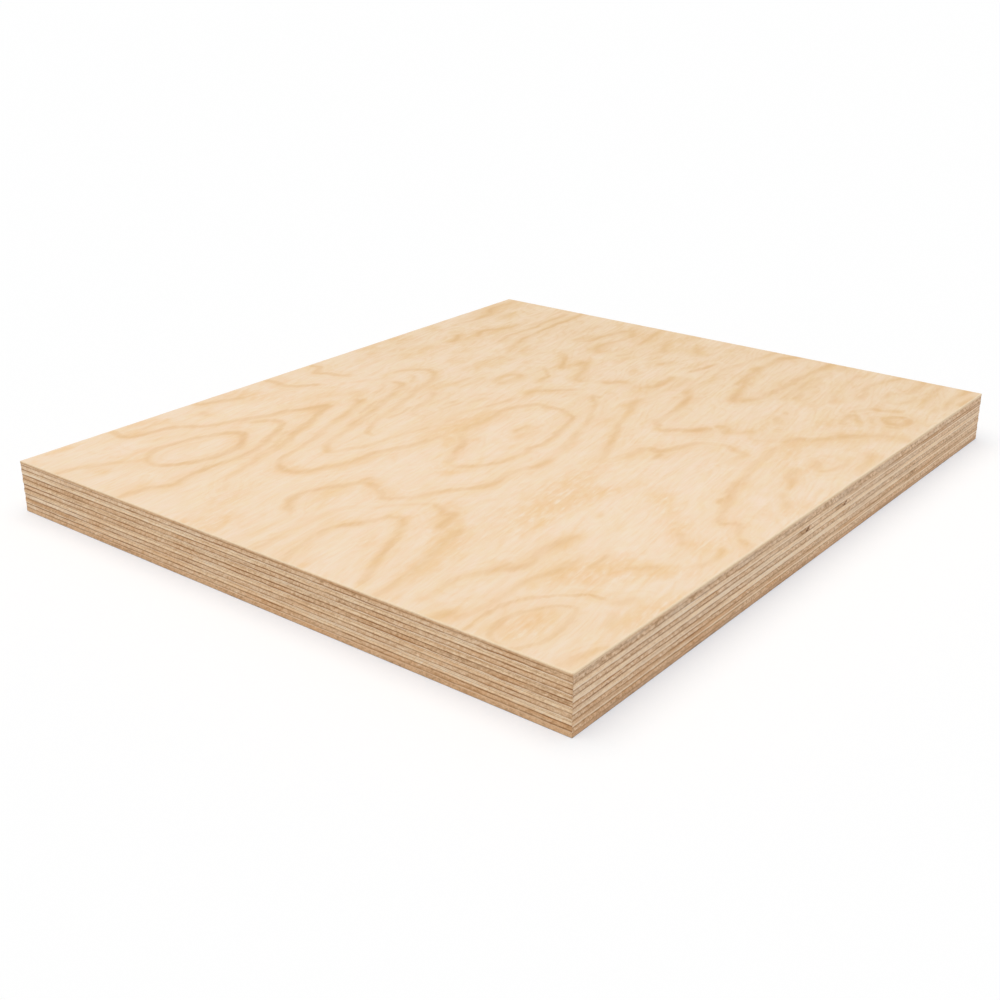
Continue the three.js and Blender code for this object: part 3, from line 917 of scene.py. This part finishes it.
        (56.5, -86, 0.6), (52, -88, 0.4), (47.5, -90.5, 0.5), (48, -94), (51, -99, 0.4),
        (54, -103, 0.5), (60, -107), (62, -111, 0.55), (66, -115, 0.6), (71, -119, 0.65),
        (76, -122.5, 0.8), (80, -126, 0.75), (84, -131, 0.5), (88, -136), (89, -142, 0.45),
        (88, -150, 0.55)]),
    (1.6, [(-64, -150, 0.6), (-60, -148, 0.65), (-55, -146, 0.6), (-53.5, -143, 0.65),
        (-52, -139.5, 0.5), (-48, -137), (-43, -135, 0.55), (-40, -132.5, 0.75), (-41, -130, 0.6),
        (-44, -127), (-42, -125, 0.75), (-37, -123, 0.6), (-30, -120.5), (-24, -119, 0.65),
        (-16, -115.5), (-9, -113, 0.7), (-3, -112, 0.85), (1, -111.5, 0.8), (8, -110, 0.65),
        (16, -108, 0.55), (26, -106.5, 0.5), (36, -105.5), (45, -104.5, 0.5)]),
    (1.3, [(-29, -117.5, 0.5), (-25, -115.5, 0.6), (-20, -115.5, 0.6)]),
    (1.5, [(-17, -141.5, 0.35), (-12, -139.5, 0.45), (-8, -137, 0.45), (-6, -135, 0.4)]),
    (1.4, [(-9, -135.5, 0.4), (-4, -133.5, 0.45), (1, -131.5, 0.4)]),
    (1.6, [(2, -131.5, 0.35), (8, -130.5, 0.5), (13, -128), (18, -125.5, 0.55), (23, -124, 0.6),
        (30, -123, 0.4)]),
    (1.4, [(29, -126, 0.4), (33, -128.5, 0.5), (39, -127.5, 0.5), (37, -130, 0.35), (32, -131, 0.4),
        (30.5, -133, 0.5), (34, -136, 0.5), (41, -137.5, 0.55), (48, -137, 0.5), (56, -135, 0.45)]),
    (1.3, [(-28, -136.5, 0.4), (-24, -135, 0.45)]),
    (1.6, [(37, -147.5, 0.4), (46, -145.5, 0.5), (54, -144.5, 0.6), (62, -141.5),
        (66, -139.5, 0.4)]),
]

# Broad patches of late wood: middle, half length, half width, turn in degrees, and how dark.
latePatches = [
    # far left and far edge
    (-144, 111, 9, 4, -45, 0.45), (-160, 111.5, 3, 3, -30, 0.6), (-133, 115.5, 7, 2.5, -20, 0.4),
    (-93, 100, 5, 3, 60, 0.4), (-150, 74, 5, 1.5, 0, 0.35), (-121, 140, 3.5, 3, 60, 0.75),
    (-104, 142, 3.5, 3, 0, 0.85), (-113.5, 147.5, 4, 1.5, 0, 0.65),
    (-155.5, 147.5, 8, 1.5, 0, 0.75), (-40, 96.5, 5, 2.5, 0, 0.6), (-24, 88.5, 3, 2, 40, 0.5),
    (-51, 137, 11, 6, 115, 0.6), (-57, 147, 4, 2, 0, 0.5), (-52, 143, 3, 2, 0, 0.5),
    (-25, 110, 12, 5, 10, 0.3), (-4.5, 137.5, 2.5, 2.5, 0, 0.4), (-33, 135, 3, 2, 0, 0.5),
    (42, 147.5, 5, 1.5, 0, 0.8), (37.5, 138, 5, 3, 30, 0.6), (46.5, 144, 2.5, 1.5, 0, 0.6),
    (52, 131.5, 3, 1.5, 0, 0.5), (66, 147.5, 6, 1.3, 0, 0.65), (62, 140, 3, 1.5, 0, 0.55),
    (70, 141.5, 3, 1.3, 0, 0.5), (155, 137, 3, 1.3, 0, 0.45),
    # far right
    (57.5, 93, 6, 3, 10, 0.5), (53, 77, 7, 3, -15, 0.5), (68, 78, 8, 5, 0, 0.45),
    (50.5, 121.5, 10, 3.5, -15, 0.45), (62.5, 122, 8, 6, -30, 0.45), (94, 122, 7, 3, 35, 0.65),
    (86, 119, 7, 2.5, 15, 0.6), (107, 117, 6, 3.5, 10, 0.7), (97, 116, 14, 5, -10, 0.5),
    (118, 112, 12, 3, -8, 0.5), (110, 112, 10, 3, 0, 0.3), (95, 143, 5, 3, 60, 0.5),
    (66, 145, 7, 3, 20, 0.5), (70, 140, 5, 3, 0, 0.35), (147.5, 142, 8, 4.5, 15, 0.85),
    (135, 137.5, 10, 1.8, 0, 0.5), (166, 144, 9, 2, -5, 0.5), (166, 136.5, 6, 2.2, 5, 0.5),
    (152, 138.5, 6, 2, 0, 0.35), (145, 127, 9, 2.2, 15, 0.45), (171, 128, 4, 1.5, 0, 0.45),
    (171, 107, 4, 1.5, 0, 0.4), (74, 103, 5, 2.5, 0, 0.4), (83.5, 107.5, 3, 1.3, 0, 0.3),
    (160, 94, 16, 1.8, 2, 0.4), (155, 101, 16, 1.6, 0, 0.3), (95, 85, 10, 2.5, 30, 0.4),
    (94, 76, 7, 2, 25, 0.55), (150, 71, 8, 1.8, -3, 0.55), (134, 63, 7, 4, 0, 0.5),
    (137, 58.5, 6, 2.5, -10, 0.4), (167, 64, 3, 1.5, 20, 0.5), (100, 58, 6, 2.2, 40, 0.5),
    (97, 51.5, 6, 2, 30, 0.5), (89, 46.5, 9, 2.2, 25, 0.5), (83, 41.5, 4, 2, 10, 0.55),
    (79, 61.5, 4, 2, 5, 0.5), (16.5, 72.5, 9, 3, -20, 0.6), (160, 50, 9, 3.5, 35, 0.6),
    (155, 44, 7, 3, 10, 0.5), (148, 45, 7, 2, 15, 0.35), (171, 50, 4, 3, 0, 0.35),
    (140, 77, 12, 3, 0, 0.25), (150, 86, 12, 2, 5, 0.2), (66, 80.5, 7, 2, 10, 0.4),
    (74, 76, 2.5, 3.5, 0, 0.4),
    # left of the middle
    (-146.5, 45.5, 12, 4, 0, 0.4), (-145.5, 45.5, 3, 1.5, 0, 0.3), (-165, 33, 9, 6, -30, 0.45),
    (-173.5, 40, 2, 2, 0, 0.6), (-162, 30, 3, 2, 0, 0.4), (-171, 27, 4, 2, 0, 0.5),
    (-118, 17, 10, 4, 10, 0.5), (-100, 6, 8, 4, 70, 0.5), (-118, -48, 7, 3, 35, 0.6),
    (-134, -13, 4, 2, -40, 0.4), (-143.5, -29, 4, 3, -40, 0.5), (-172, -25, 4, 2, 0, 0.4),
    (-71, -6, 2.5, 1.5, 0, 0.7), (-68.5, -9, 2.5, 1.5, 0, 0.7), (-61.5, -7.5, 2, 1.5, 0, 0.4),
    # thick parts of the far lines
    (-46, 97, 9, 4, 0, 0.75), (-68.5, 83.5, 8, 2.5, 15, 0.6), (-73, 79.5, 5, 1.5, 10, 0.4),
    (-22, 92, 8, 2.6, 50, 0.45), (-45, 80, 9, 2, 15, 0.5), (-26, 76, 6, 1.8, 20, 0.5),
    (-48, 69.5, 6, 1.8, 5, 0.5), (32, 89, 7, 2.5, 50, 0.6), (28, 102, 6, 2, -40, 0.3),
    (8, 91, 2.5, 4, 0, 0.4), (-111, 52, 3.5, 5, 10, 0.65), (-107, 44, 4, 3, -50, 0.6),
    (-80, 55, 5, 2.2, 50, 0.45), (-88, 34.5, 14, 2.4, -12, 0.4), (-76, 33, 5, 1.6, 0, 0.45),
    (-98, 95, 4, 9, -35, 0.5), (-71, 99, 2, 5, 0, 0.35), (50, 56, 9, 1.6, -5, 0.35),
    (56, 51, 3.5, 3, 0, 0.5), (45, 51, 6, 3, 0, 0.25), (44, 26.5, 7, 3, -45, 0.6),
    (34, 28.5, 8, 2.2, -5, 0.35), (3, 75, 12, 2, 15, 0.3), (0, 83, 12, 1.8, 18, 0.3),
    # over the eye
    (-40, 16, 7, 3.5, 30, 0.6), (-20, 26, 22, 6.5, 0, 0.7), (-26, 30, 4, 2, 0, 0.7),
    (-13.5, 27.5, 5, 2, 0, 0.5), (-4, 25.5, 3, 1.5, 0, 0.7), (-31.5, 9, 2, 1.5, 0, 0.4),
    (23, 8.5, 2.5, 1, 0, 0.5), (-9, -3, 10, 4, 8, 0.5), (28.5, -24, 7, 3, 0, 0.35),
    (44.5, -24.5, 5, 2.5, 20, 0.5), (50.5, -18, 2, 1.5, 0, 0.5), (61.5, -1.5, 2, 1.5, 0, 0.5),
    # right of the middle
    (125, 47, 5, 3, 10, 0.65), (119, 41, 4, 3.5, -40, 0.5), (131, 47, 5, 2, 0, 0.45),
    (96, 37, 6, 2.8, 35, 0.65), (88, 38, 5, 3, 0, 0.45), (155, 34.5, 12, 4, 5, 0.55),
    (152, 33, 4, 2, 0, 0.4), (167, 36, 5, 3, 0, 0.6), (158, 40, 6, 3, -20, 0.45),
    (127, 36, 5, 2, 0, 0.4), (114, 23, 4, 2, 0, 0.6), (109, 26, 4, 2.5, 0, 0.45),
    (128, 14, 9, 3, 15, 0.4), (150, 20, 10, 2.5, 25, 0.45), (168, 16.5, 8, 3.5, -10, 0.7),
    (148, 9, 7, 4, -10, 0.45), (100.5, 8.5, 6, 2, 35, 0.55), (118, 2.5, 6, 2, -20, 0.5),
    (151, -1, 9, 2.8, 25, 0.55), (80, 3, 3, 4, 0, 0.45), (75, 8, 3, 2, -40, 0.45),
    (77, -12, 8, 3.5, -5, 0.6), (90, -15, 10, 1.8, 0, 0.5), (127, -11.5, 6, 1.8, 0, 0.5),
    (137.5, -14, 4, 1.3, 0, 0.4), (165, -17, 12, 4, 0, 0.45), (172, -7, 4, 2, 0, 0.35),
    (167.5, 27, 3, 1.5, 0, 0.5), (72, 24, 4, 4, 60, 0.4), (84, 30, 8, 2, 18, 0.4),
    (94, -60, 5, 4, 0, 0.3), (107, -86, 10, 4, 5, 0.35), (127, -83, 3, 1.2, 10, 0.4),
    (120, -97.5, 4, 1.5, 10, 0.45), (172, -71, 4, 2, 0, 0.4), (172, -79, 5, 3, 10, 0.35),
    (58, -20, 6, 2, 15, 0.45), (76, -38.5, 7, 2, 12, 0.6), (88, -31.5, 6, 1.6, 20, 0.4),
    (118, -47, 9, 2, 20, 0.5), (140, -42, 7, 2, 0, 0.45), (170, -45, 5, 3, -30, 0.7),
    (168, -68.5, 7, 2, 0, 0.6), (95, -55.5, 7, 2.2, 20, 0.5),
    # near left
    (-104, -38, 9, 4, 50, 0.5), (-112, -46, 9, 4, 35, 0.6), (-97, -27, 5, 5, 0, 0.3),
    (-119, -27, 5, 2.5, 60, 0.45), (-150, -42, 11, 2, 30, 0.5), (-66, -31, 7, 2, 0, 0.45),
    (-36, -34, 8, 2, 0, 0.5), (-6, -57, 8, 2, -10, 0.35), (6, -64, 5, 6, -30, 0.45),
    (16, -70, 8, 2, -15, 0.35), (6, -41, 8, 2, 20, 0.4), (-131, -58, 15, 5, 5, 0.55),
    (-150, -63, 12, 3, 0, 0.35), (-120, -53, 7, 2.5, 20, 0.4), (-97, -89.5, 9, 2.2, 0, 0.6),
    (-170, -92, 6, 3, -10, 0.65), (-126, -103.5, 9, 3.5, -25, 0.5), (-116, -106, 8, 6, -60, 0.7),
    (-109, -112, 10, 6, -45, 0.6), (-96, -130, 9, 3, -50, 0.45), (-67, -132, 6, 4, -45, 0.45),
    (-60, -117, 7, 3, 30, 0.4), (-132, -83, 8, 2, -15, 0.5), (-104, -118, 8, 3, -30, 0.45),
    (-102, -117, 9, 3, 0, 0.6), (-104, -117, 2, 1.5, 0, 0.4), (-118, -112.5, 4, 2, -50, 0.5),
    (-118, -101.5, 3, 1.2, 15, 0.4), (-108, -111.5, 2.5, 1, -45, 0.4),
    (-93, -128.5, 3.5, 2, -30, 0.35), (-97, -133, 5, 2.5, -20, 0.35), (-66, -140, 5, 2, 15, 0.5),
    (-66, -129.5, 5, 3, -40, 0.5), (-55, -144, 3, 2, 20, 0.5), (-157.5, -118.5, 9, 4.5, 0, 0.9),
    (-168, -119, 3.5, 0.8, 0, 0.7), (-150, -118.5, 3, 0.8, 0, 0.6), (-150, -121.5, 3, 0.8, 0, 0.6),
    (-163, -110.5, 4, 1.4, 0, 0.5), (-125, -146, 16, 3.5, -10, 0.55),
    (-133, -147.5, 4, 1.5, 0, 0.6), (-125, -144.5, 3, 1.5, 25, 0.5), (-118, -146.5, 4, 1.3, 0, 0.5),
    (-110, -148.5, 4, 1.5, 0, 0.6), (-126.5, -121, 2, 2.5, 0, 0.4),
    (-124, -128.5, 2.5, 1.2, 0, 0.45),
    # near middle
    (-75, -63, 20, 8, 8, 0.65), (-58, -66, 10, 4.5, 5, 0.8), (-48, -71, 7, 3, -20, 0.7),
    (-85, -62, 8, 3, 0, 0.4), (-88, -71, 6, 2, 0, 0.6), (-50, -56, 15, 5, 0, 0.5),
    (-88, -55, 3, 1.5, 30, 0.4), (-59, -62.5, 2.5, 0.8, 0, 0.7), (-35, -54, 12, 4, 0, 0.35),
    (-38, -76, 13, 4, -15, 0.35), (-37, -94, 7, 4, 20, 0.6), (-36, -96, 3.5, 1.4, 10, 0.7),
    (-46, -103, 5, 3, 30, 0.35), (-46, -105.5, 3, 1.5, 0, 0.4), (-38, -105, 3, 1, 0, 0.3),
    (-57, -115.5, 6, 4, 30, 0.45), (-3, -113, 5, 1.8, 15, 0.8), (-23, -118, 6, 2.2, 10, 0.35),
    (38, -113.5, 10, 2, 10, 0.6), (48, -107, 13, 3.5, 5, 0.4), (41.5, -64.5, 4, 3, -45, 0.6),
    (52, -75, 5, 5, 0, 0.35), (54.5, -85.5, 4, 1.5, 25, 0.4), (56, -106.5, 8, 4, -20, 0.4),
    (58, -112.5, 7, 2.5, 0, 0.45), (72, -121, 11, 6, -25, 0.45), (78, -124, 4.5, 3, -30, 0.5),
    (87, -137, 7, 4, -70, 0.3), (26, -81, 2.5, 2, 0, 0.45), (31.5, -89.5, 2.5, 2, 0, 0.45),
    (28, -97.5, 3, 2.5, 0, 0.3), (12, -129.5, 4.5, 1.6, 10, 0.4), (20, -125.5, 7, 2.2, 15, 0.35),
    (35, -129, 8, 3, 5, 0.25), (-11, -144, 7, 3, 0, 0.35), (2, -148.5, 8, 1.2, 0, 0.45),
    (60, -142.5, 6, 3, 25, 0.45), (82, -137, 2, 1.5, 0, 0.4),
    # near right
    (86, -107, 6, 3, 25, 0.6), (98, -118.5, 4, 1.6, 25, 0.5), (120.5, -118, 3, 2, 0, 0.5),
    (125, -128, 3, 2, 0, 0.5), (148, -115, 3, 2, 0, 0.45), (112.5, -138, 4.5, 1.6, 10, 0.7),
    (105.5, -135, 3, 1.5, 60, 0.5), (110.5, -132, 3, 3, 0, 0.6), (107, -134, 10, 9, 0, 0.3),
    (172, -107.5, 4, 2, -30, 0.5), (173, -125.5, 3, 1.5, 0, 0.5), (158, -148.5, 6, 1.5, 0, 0.5),
    (171, -142.5, 5, 1.8, 0, 0.4), (147, -131.5, 5, 2, 0, 0.3),
]

figure = {
    "step": 1.6,  # between the points of a smoothed line
    "endFade": 4.0,  # how far an open end takes to fade out,
    "endDark": 0.25,  # and what is left of it at its very end
    "rim": (2.0, 3.0),  # a line that ends nearer than this to the sheet's ends or sides runs off it
    "widen": 1.5,  # lines are drawn this much wider than written
    "thin": (1.3, 1.5, 0.8),  # up to this half width they are drawn darker and narrower by these
    "nudge": (0.3, 0.7),
    # waver of the lines: length along and across, and size; and how much of it goes each way
    "tremble": ((11.0, 5.0, 1.5), (3.6, 1.8, 0.8)),
    "trembleShare": (1.0, 0.6),
    "seed": 1,  # of the waver, which would come from the clock without one
    "reach": 24.0,  # how far from a line its distance is measured
    "farthest": (8.0, 30.0),  # what a spot far from every line gets, in half widths and in mm
    "patchEdge": (0.3, 0.5),  # patches are this much longer and wider than written
    "patchFall": 0.7,
    "patchMost": 0.95,
}


def smoothLine(points):
    # a curve through the points, with the darkness between them; open ends fade out
    dark, known = [], [k for k, point in enumerate(points) if len(point) == 3]
    for k in range(len(points)):
        after = next((j for j in known if j >= k), known[-1])
        before = next((j for j in reversed(known) if j <= k), known[0])
        share = (k - before) / (after - before) if after > before else 0.0
        dark.append(points[before][2] + (points[after][2] - points[before][2]) * share)
    spots = [np.array(point[:2], float) for point in points]
    closed = tuple(points[0][:2]) == tuple(points[-1][:2])
    first, last = spots[-2], spots[1]
    if not closed:
        first, last = 2 * spots[0] - spots[1], 2 * spots[-1] - spots[-2]
    ring, made = [first] + spots + [last], []
    for k, (a, b, c, d) in enumerate(zip(ring, ring[1:], ring[2:], ring[3:])):
        pieces = max(1, math.ceil(np.linalg.norm(c - b) / figure["step"]))
        for t in np.arange(pieces) / pieces:
            spot = 0.5 * (2 * b + (c - a) * t + (2 * a - 5 * b + 4 * c - d) * t ** 2
                          + (3 * b - a - 3 * c + d) * t ** 3)
            made.append((*spot, dark[k] + (dark[k + 1] - dark[k]) * t))
    made = np.array(made + [(*spots[-1], dark[-1])])
    if not closed:
        run = np.concatenate([[0.0], np.cumsum(np.hypot(*np.diff(made[:, :2], axis=0).T))])
        half = np.array([sheet["length"], sheet["width"]]) / 2 - figure["rim"]
        for end, reach in ((0, run), (-1, run[-1] - run)):
            if np.all(abs(made[end, :2]) < half):
                fade = figure["endDark"] + reach / figure["endFade"]
                made[:, 2] *= np.clip(fade, 0.0, 1.0)
    return made


def toLine(spots, line):
    # how far each spot is from a line, and how dark the line is there
    best = np.full((len(spots), 2), np.inf)
    for a, b in zip(line, line[1:]):
        way = b[:2] - a[:2]
        share = np.clip(((spots - a[:2]) @ way) / max(way @ way, 1e-9), 0.0, 1.0)
        far = np.hypot(*(spots - a[:2] - share[:, None] * way).T)
        won = far < best[:, 0]
        best[won] = np.stack([far, a[2] + (b[2] - a[2]) * share], 1)[won]
    return best.T


def traceFigure(spots):
    # for each spot of the face: how far the strongest line is, in its half widths, how dark that
    # line is, how far the nearest is in mm, and how deep in a patch the spot lies
    noise.seed_set(figure["seed"])
    waver = np.zeros_like(spots)
    for turn, (along, across, size) in enumerate(figure["tremble"]):
        waver += size * np.array([
            noise.noise_vector(Vector((x / along, y / across, 7.3 * turn)))[:2] for x, y in spots])
    spots = spots + waver * figure["trembleShare"] + figure["nudge"]
    mostGap, mostFar = figure["farthest"]
    nearest, aloof = np.full(len(spots), mostGap), np.full(len(spots), mostFar)
    darkness, clear = np.zeros(len(spots)), np.ones(len(spots))
    thin, darker, narrower = figure["thin"]
    for written, points in ringLines:
        line, halfWidth = smoothLine(points), written * figure["widen"]
        if written <= thin:
            line[:, 2] *= darker
            halfWidth *= narrower
        start, end = line[:, :2].min(0) - figure["reach"], line[:, :2].max(0) + figure["reach"]
        close = np.flatnonzero(np.all((spots > start) & (spots < end), 1))
        far, dark = toLine(spots[close], line)
        aloof[close] = np.minimum(aloof[close], far)
        gap = np.minimum(far / halfWidth, mostGap)
        known = darkness[close] * np.exp(-nearest[close] ** 2 / 4)
        stronger = dark * np.exp(-gap ** 2 / 4) > known
        nearest[close[stronger]], darkness[close[stronger]] = gap[stronger], dark[stronger]
    longer, wider = figure["patchEdge"]
    for x, y, halfLength, halfWidth, turn, dark in latePatches:
        c, s = math.cos(math.radians(turn)), math.sin(math.radians(turn))
        aside = spots - (x, y)
        far = np.hypot((aside @ (c, s)) / (halfLength + longer),
                       (aside @ (-s, c)) / (halfWidth + wider))
        clear *= 1.0 - min(dark, figure["patchMost"]) * np.exp(-figure["patchFall"] * far ** 2)
    return {"lineGap": nearest, "lineDark": darkness, "lineFar": aloof, "patchDark": 1.0 - clear}


def storeFigure(piece):
    spots = np.empty(len(piece.data.vertices) * 3)
    piece.data.vertices.foreach_get("co", spots)
    for name, values in traceFigure(spots.reshape(-1, 3)[:, :2] / mm).items():
        kept = piece.data.attributes.new(name, "FLOAT", "POINT")
        kept.data.foreach_set("value", values.astype(np.float32))


# Size of the spots along the grain, across it and in depth, then detail, roughness and seed.
faceNoises = {
    "broad": ((60.0, 26.0, 50.0), 2.0, 0.5, 5.0),
    "broken": ((17.0, 5.0, 50.0), 3.0, 0.6, 4.0),
    "jitter": ((6.0, 2.2, 50.0), 3.0, 0.6, 2.0),
    "fibre": ((11.0, 0.55, 50.0), 3.0, 0.6, 3.0),
    "hills": ((64.0, 17.0, 50.0), 1.5, 0.5, 13.0),
    "smudge": ((26.0, 8.0, 50.0), 4.0, 0.6, 6.0),
    "streak": ((40.0, 1.7, 50.0), 3.0, 0.65, 7.0),
    "hue": ((13.0, 6.0, 50.0), 3.0, 0.65, 9.0),
}
ringNoise = ((38.0, 2.0, 24.0), 3.0, 0.65, 10.0)  # its second size is from a line outwards
shadeNoise = ((90.0, 40.0, 50.0), 2.0, 0.5, 8.0)  # not turned with the grain

faceLook = {
    "grainTurn": -9.0,  # degrees
    "farWay": (0.8, 0.2),  # the way to the far right, along the sheet and across it,
    "farSide": (90.0, 330.0),  # and from where to where on it the far right's own look comes in
    # what makes a line ragged, how dark it is, and how dark a patch is
    "ragged": {"plus": -0.08, "jitter": 0.75, "fibre": 0.5, "broken": 0.35},
    "force": {"plus": 0.93, "broken": 0.55, "broad": 0.25},
    "cloud": {"plus": 0.92, "farSide": 0.25, "broken": 0.7, "jitter": 1.3, "fibre": 0.7},
    # how narrow and how dark a line's core and its body are, and its soft side light
    "core": (1.15, 0.75),
    "body": (0.5, 0.3),
    "haloReach": 3.2,
    "haloDark": 0.32,
    "density": 1.3,
    # what lies between the lines
    "ground": {"plus": -0.14, "smudge": 0.35, "rings": 0.7, "streak": 1.0, "broken": 0.35,
               "jitter": 0.4, "fibre": 0.55, "growth": 0.55},
    "streakShare": (0.6, 0.9),  # on the near left, and on the far right
    "ringReach": (16.0, 5.0),  # faint rings follow a line up to here
    # thin growth lines: how many, what moves them, their two sides and how dark they are
    "growthPlace": {"plus": 0.5, "hills": 4.5, "jitter": 0.16, "fibre": 0.08},
    "growthWidth": (0.10, 0.26),
    "growthDark": {"plus": 0.6, "broken": 1.2, "farSide": 0.5},
    "groundComesIn": (-0.6, 1.7, 0.0, 0.85),
    "pale": "f2ddc4", "paleFar": "ecd5b9",  # the far right is a shade deeper
    "late": "ecc592", "lateFar": "e0bb87",
    "deep": "d0a26c",
    "deepComesIn": (0.3, 1.2, 0.0, 0.34),
    "deepInPatch": 0.3,
    "rosy": (1.016, 0.988, 1.02, 1.0), "sallow": (0.996, 1.0, 0.925, 1.0),  # in soft patches
    "rim": "fdf0da",  # painted highlight along the sheet's edge, strongest on the near side
    "rimHighlightReach": (1.2, 0.4),
    "rimHighlightShare": (0.12, 0.0007),
    "shade": {"plus": 1.0, "cloudy": 0.010, "fibre": 0.010},
    "rough": {"plus": 0.62, "late": -0.10, "fibre": 0.03},
    "height": {"late": 0.8, "fibre": 0.3},
    "relief": (0.35, 0.05),  # how strong and how deep the bumps are
}


def faceFinish():
    look = faceLook
    material, board, shader = newMaterial("faceFigure", 0.6)
    place = millimetres(board)
    grainLine = board.add("ShaderNodeVectorRotate", {"rotation_type": "Z_AXIS"},
                          {"Vector": place, "Angle": math.radians(look["grainTurn"])})
    x, y, z = board.split(place)
    gap, dark, aloof, patch = (
        board.add("ShaderNodeAttribute", {"attribute_name": name}).out("Fac")
        for name in ("lineGap", "lineDark", "lineFar", "patchDark"))
    parts = board.noises(grainLine, faceNoises)
    across, up = x + sheet["length"] / 2, y + sheet["width"] / 2
    farSide = parts["farSide"] = board.ramp(
        across * look["farWay"][0] + up * look["farWay"][1], *look["farSide"])

    # the lines and the patches
    ragged = board.most(gap + board.weigh(parts, look["ragged"]), 0.0)
    near = board.bell(ragged * look["core"][0]) * look["core"][1]
    near = near + board.bell(ragged * look["body"][0]) * look["body"][1]
    halo = board.bell(ragged / look["haloReach"]) * look["haloDark"]
    force = board.most(dark * board.weigh(parts, look["force"]), 0.0)
    cloud = board.most(patch * board.weigh(parts, look["cloud"]), 0.0)
    late = 1.0 - board.fade((board.most(near, halo) * force + cloud) * look["density"])

    # between the lines: faint rings that follow them, soft smudges, fine streaks, and thin
    # growth lines of their own, closest on the far right
    rings = board.noise(board.point(x, aloof, y), *ringNoise)
    parts["rings"] = rings * board.ramp(aloof, *look["ringReach"])
    offset = board.calc("FRACT", board.weigh(parts, look["growthPlace"])) - 0.5
    width = board.blend(*look["growthWidth"], offset < 0.0)
    growth = board.most(board.weigh(parts, look["growthDark"]), 0.0)
    parts["growth"] = board.bell(offset / width) * growth
    parts["streak"] = parts["streak"] * board.blend(*look["streakShare"], farSide)
    ground = board.slope(board.weigh(parts, look["ground"]), *look["groundComesIn"])
    late = late + (1.0 - late) * ground

    base = board.paint(look["pale"], look["paleFar"], farSide)
    deeper = board.paint(look["late"], look["lateFar"], farSide)
    tone = board.paint(base, deeper, board.least(late, 1.0))
    deep = board.slope(near * force + cloud * look["deepInPatch"], *look["deepComesIn"])
    tone = board.paint(tone, look["deep"], deep)
    tone = board.paint(tone, look["sallow"], board.slope(parts["hue"], 0.0, 1.0), "MULTIPLY")
    tone = board.paint(tone, look["rosy"], board.slope(parts["hue"], 0.0, -1.0), "MULTIPLY")
    # painted highlight along the sheet's edge, stronger towards the near side
    toRim = board.least(sheet["length"] / 2 - abs(x), sheet["width"] / 2 - abs(y))
    rim = board.ramp(toRim, *look["rimHighlightReach"]) * (look["rimHighlightShare"][0] - y * look["rimHighlightShare"][1])
    tone = board.paint(tone, look["rim"], rim)
    parts["late"], parts["cloudy"] = late, board.noise(place, *shadeNoise)
    shade = board.weigh(parts, look["shade"])
    tone = board.paint(tone, board.point(shade, shade, shade), 1.0, "MULTIPLY")
    height = board.weigh(parts, look["height"])
    finish(shader, tone, board.weigh(parts, look["rough"]), height, look["relief"])
    return material


backNoises = {
    "hills": ((210.0, 62.0, 90.0), 1.5, 0.45, 21.0),
    "jitter": ((14.0, 2.8, 90.0), 3.0, 0.6, 22.0),
    "fibre": ((16.0, 0.6, 90.0), 3.0, 0.6, 23.0),
    "patchy": ((60.0, 24.0, 90.0), 2.0, 0.5, 24.0),
}
backLook = {
    "pale": "e9cfa8", "band": "cf9f66", "deep": "b98049",
    "deepComesIn": (0.7, 1.0, 0.0, 0.5),
    "ringPlace": {"plus": 0.5, "hills": 3.4, "jitter": 0.05, "fibre": 0.03},
    "ringWidth": (0.05, 0.16),  # a line's sharp and its soft side, in rings
    "wide": (2.6, 0.35),  # a wider, paler band beside each line
    "strength": {"plus": 0.7, "patchy": 0.25},
    "rough": {"plus": 0.70, "late": -0.10, "fibre": 0.04},
    "height": {"late": 0.8, "fibre": 0.5},
    "relief": (0.5, 0.08),
}


def backFinish():
    # the underside shows a plainer veneer, with the long flames of a bigger log
    look = backLook
    material, board, shader = newMaterial("backFigure", 0.7)
    parts = board.noises(millimetres(board), backNoises)
    offset = board.calc("FRACT", board.weigh(parts, look["ringPlace"])) - 0.5
    early = offset < 0.0
    width = board.blend(*look["ringWidth"], early)
    wider, paler = look["wide"]
    wide = board.bell(offset / (width * wider)) * early * paler
    strength = board.weigh(parts, look["strength"])
    late = board.least(board.most(board.bell(offset / width), wide) * strength, 1.0)
    tone = board.paint(look["pale"], look["band"], late)
    tone = board.paint(tone, look["deep"], board.ramp(late, *look["deepComesIn"]))
    parts["late"] = late
    height = board.weigh(parts, look["height"])
    finish(shader, tone, board.weigh(parts, look["rough"]), height, look["relief"])
    return material


innerNoises = {"fibre": ((8.0, 0.7, 9.0), 3.0, 0.6, 31.0)}
innerLook = {"dark": "8a6240", "light": "b88a5c", "rough": {"plus": 0.85, "fibre": 0.05}}


def innerFinish():
    # the glued faces inside the sheet, which show only in the gaps
    material, board, shader = newMaterial("innerFace", 0.85)
    parts = board.noises(millimetres(board), innerNoises)
    share = board.ramp(parts["fibre"], -1.0, 1.0)
    tone = board.paint(innerLook["dark"], innerLook["light"], share)
    finish(shader, tone, board.weigh(parts, innerLook["rough"]))
    return material


outerFinish = {"face_veneer": faceFinish(), "back_veneer": backFinish()}
gluedFinish = innerFinish()
print("finishes made")
for number, ply in enumerate(plies, 1):
    flat = outerFinish.get(ply["node"], gluedFinish)
    piece = buildVeneer(ply, number, flat, edgeFinish(ply, number))
    if ply["node"] == "face_veneer":
        storeFigure(piece)
        print("figure laid on the face")
    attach(piece, "root")
    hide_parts(ply["node"])
    triangles = sum(len(face.vertices) - 2 for face in piece.data.polygons)
    print("built", piece.name, "with", triangles, "triangles")
